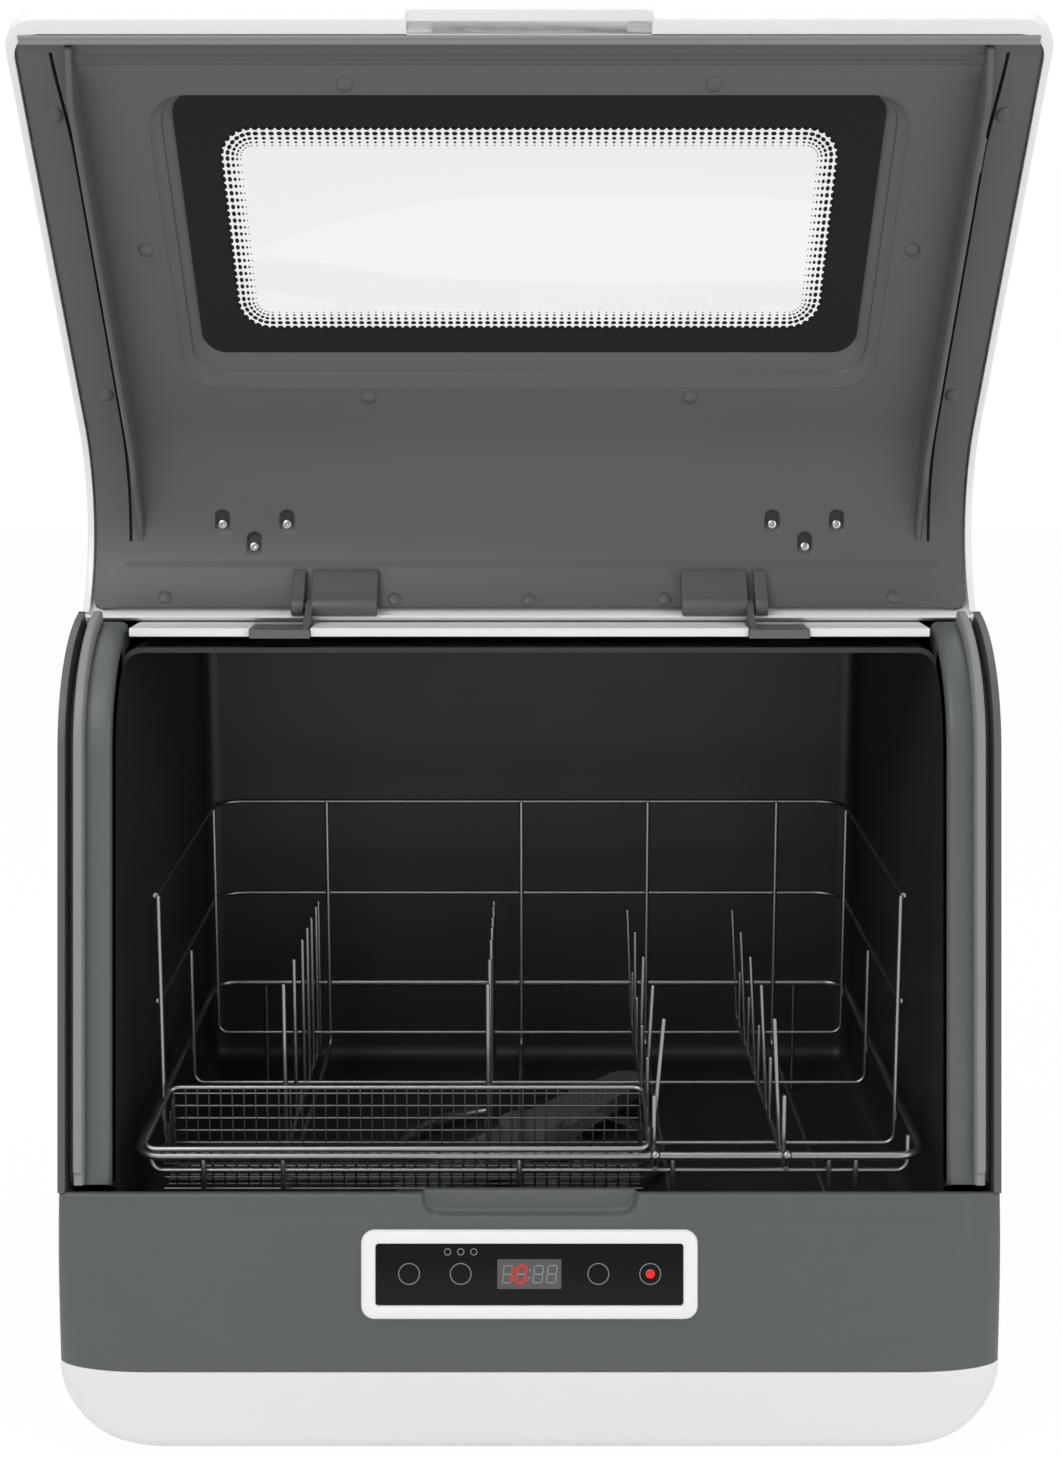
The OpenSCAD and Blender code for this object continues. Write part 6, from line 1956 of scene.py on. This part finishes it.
@dataclass
class CutleryBasket:
    """The fine wire basket that hooks over the rack's front rail."""

    x0: float = -167.0
    width: float = 219.0
    front: float = 25.5
    depth: float = 29.0
    floor: float = 109.0
    front_top: float = 130.8
    back_top: float = 148.0
    flange: float = 8.0
    pitch: float = 5.48
    mesh: float = 0.5
    rim: float = 1.2

    def net(self) -> None:
        """Makes the square mesh: hoops front to back, wires along, and both ends."""
        draft = Draft()
        x1, back = self.x0 + self.width, self.front + self.depth
        count = round(self.width / self.pitch)
        m, low = self.mesh, self.floor + 6
        near, far, hung = self.front + m, back - m, self.front - self.flange

        def steps(start: float, end: float) -> list[float]:
            """Even steps from start to end at about the mesh's pitch."""
            n = max(1, round((end - start) / self.pitch))
            return [start + (end - start) * i / n for i in range(n + 1)]
        for i in range(count + 1):
            x = self.x0 + m + (self.width - 2 * m) * i / count
            side = [(hung + 1, self.front_top + m), (near, self.front_top + m),
                    (near, self.floor + m), (far, self.floor + m), (far, self.back_top)]
            draft.wire(bent([Vector((x, y, z)) for y, z in side], 1.6, 3), m, 6)
        along = [(near, z) for z in steps(low, self.front_top - 3)]
        along += [(y, self.floor + m) for y in steps(near, far)]
        along += [(far, z) for z in steps(low, self.back_top - 3)]
        along += [(hung + 3, self.front_top + m)]
        for y, z in along:
            draft.rod((self.x0, y, z + 0.6), (x1, y, z + 0.6), m, 6)
        for x in (self.x0 + m, x1 - m):
            for z in steps(low, self.front_top):
                draft.rod((x, near, z), (x, far, z), m, 6)
            for y in steps(self.front + self.pitch, back - self.pitch):
                rise = (y - self.front) / self.depth * (self.back_top - self.front_top)
                draft.rod((x, y, self.floor + m), (x, y, self.front_top + rise), m, 6)
        draft.piece("basket_net", Stuff.MESH, "basket", ["basket_mesh"], slot="stainless")

    def rail(self) -> None:
        """Makes the round wire that frames the basket and hangs it."""
        draft = Draft()
        y0 = self.front + 1 - self.flange - self.rim + 0.2
        z0 = self.front_top + 1.5
        y1 = self.front + self.depth + self.rim - 0.2
        x1 = self.x0 + self.width
        path = [Vector(p) for p in ((self.x0 - 8, y0, z0), (self.x0 - 1, y1, self.back_top),
                                    (x1 + 1.6, y1, self.back_top), (x1 + 2, y0, z0))]
        draft.wire(bent(path, 5.0, 6, True), self.rim, 16, True)
        draft.piece("basket_rail", Stuff.WIRE, "basket", ["basket_rim"], slot="stainless")

    def build(self) -> None:
        """Builds the basket."""
        self.net()
        self.rail()


# ---- carried-over parts and the studio -------------------------------------------------
class Carried:
    """Dresses the nodes whose solids stay as they are."""

    FINISH = {
        Stuff.GREY_ABS: ("rear_panel",),
        Stuff.FRAME: ("hinge_brackets",),
        Stuff.BOARD: ("touch_board", "main_board"),
        Stuff.BLACK_PP: ("sump", "feed_pipe", "wash_pump_housing", "drain_pump_housing",
                         "drain_hose", "drain_outlet", "inlet_valve", "fan_housing", "fan_wheel",
                         "power_inlet", "reed_switch"),
        Stuff.STEEL: ("filter_plate", "heater"),
        Stuff.ARM: ("spray_arm", "filter_basket"),
        Stuff.CAN: ("wash_pump_motor", "drain_pump_motor"),
        Stuff.POM: ("wash_impeller", "drain_impeller"),
        Stuff.TANK: ("water_tank",),
        Stuff.WHITE_ABS: ("fill_cap",),
        Stuff.ZINC: ("case_screws", "hinge_pins", "lid_magnet"),
        Stuff.DARK_STEEL: ("lid_hinge_arms",),
        Stuff.BRONZE: ("friction_washers",),
    }

    def build(self, nodes: dict[str, bpy.types.Object]) -> None:
        """Gives each carried node its material.

        Args:
            nodes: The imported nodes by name.
        """
        for stuff, names in self.FINISH.items():
            for name in names:
                obj = nodes[name]
                obj.data.materials.clear()
                obj.data.materials.append(Finishes.of(stuff))
                LOG.info("%s: dressed as %s", name, stuff.value.name)


@dataclass
class Studio:
    """Pale floor, soft lamps and a camera at the photograph's angle."""

    camera_at: Point = (0.0007, -1.05408, 0.4707)
    pitch: float = 9.3
    focal_px: float = 2066.0
    photo_height: float = 1457.0
    sensor: float = 36.0
    world: float = 0.5
    reach: float = 6.0

    # name, place, width and height, watts
    LAMPS = (("key", (-0.9, -1.5, 1.7), (1.2, 1.2), 17), ("fill", (1.6, -1.2, 0.9), (1.4, 1.4), 9),
             ("top", (0.0, 0.2, 2.2), (1.6, 1.6), 22))
    TARGET = (0.0, 0.0, 0.3)

    def lamp(self, name: str, at: Point, size: Flat, watts: float) -> None:
        """Adds a soft box.

        Args:
            name: Its name.
            at: Where it stands, in metres.
            size: Its width and height in metres.
            watts: Its power.
        """
        data = bpy.data.lights.new(name, "AREA")
        data.shape, data.energy = "RECTANGLE", watts
        data.size, data.size_y = size
        obj = bpy.data.objects.new(name, data)
        obj.location = at
        towards = Vector(self.TARGET) - Vector(at)
        obj.rotation_euler = towards.to_track_quat("-Z", "Y").to_euler()
        bpy.context.scene.collection.objects.link(obj)

    def floor(self) -> None:
        """Makes the white floor."""
        r = self.reach
        mesh = bpy.data.meshes.new("floor")
        mesh.from_pydata([(-r, -r, 0), (r, -r, 0), (r, r, 0), (-r, r, 0)], [], [(0, 1, 2, 3)])
        mesh.materials.append(Finishes.of(Stuff.BACKDROP))
        floor = bpy.data.objects.new("floor", mesh)
        bpy.context.scene.collection.objects.link(floor)

    def sky(self) -> None:
        """Makes the world: white where the camera sees it, softer as a light."""
        world = bpy.data.worlds.new("studio")
        bpy.context.scene.world = world
        world.use_nodes = True
        tree = world.node_tree
        tree.nodes.clear()
        path = put(tree, "ShaderNodeLightPath").outputs
        seen = put(tree, "ShaderNodeMath",
                   {0: path["Is Camera Ray"], 1: path["Is Transmission Ray"]},
                   operation="ADD", use_clamp=True)
        strength = between(tree, seen.outputs[0], self.world, 1.0)
        sky = put(tree, "ShaderNodeBackground", {"Color": WHITE, "Strength": strength})
        put(tree, "ShaderNodeOutputWorld", {"Surface": sky.outputs["Background"]})

    def camera(self) -> None:
        """Makes a camera at the photograph's place and angle."""
        data = bpy.data.cameras.new("camera")
        data.sensor_width = self.sensor
        data.lens = self.focal_px / self.photo_height * self.sensor
        obj = bpy.data.objects.new("camera", data)
        obj.location = self.camera_at
        obj.rotation_euler = (math.radians(90 - self.pitch), 0, 0)
        scene = bpy.context.scene
        scene.collection.objects.link(obj)
        scene.camera = obj

    def build(self) -> None:
        """Builds the floor, the world, the lamps and the camera."""
        bpy.context.scene.view_settings.view_transform = "Standard"
        self.floor()
        self.sky()
        for lamp in self.LAMPS:
            self.lamp(*lamp)
        self.camera()


def main() -> None:
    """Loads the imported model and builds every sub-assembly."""
    logging.basicConfig(level=logging.INFO, format="%(name)s: %(message)s")
    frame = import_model()
    Studio().build()
    for part in (Base(), Housing(), WashTub(), ControlPanel(), Lid(), Rack(), CutleryBasket()):
        part.build()
    Carried().build(frame["nodes"])


if __name__ == "__main__":
    main()
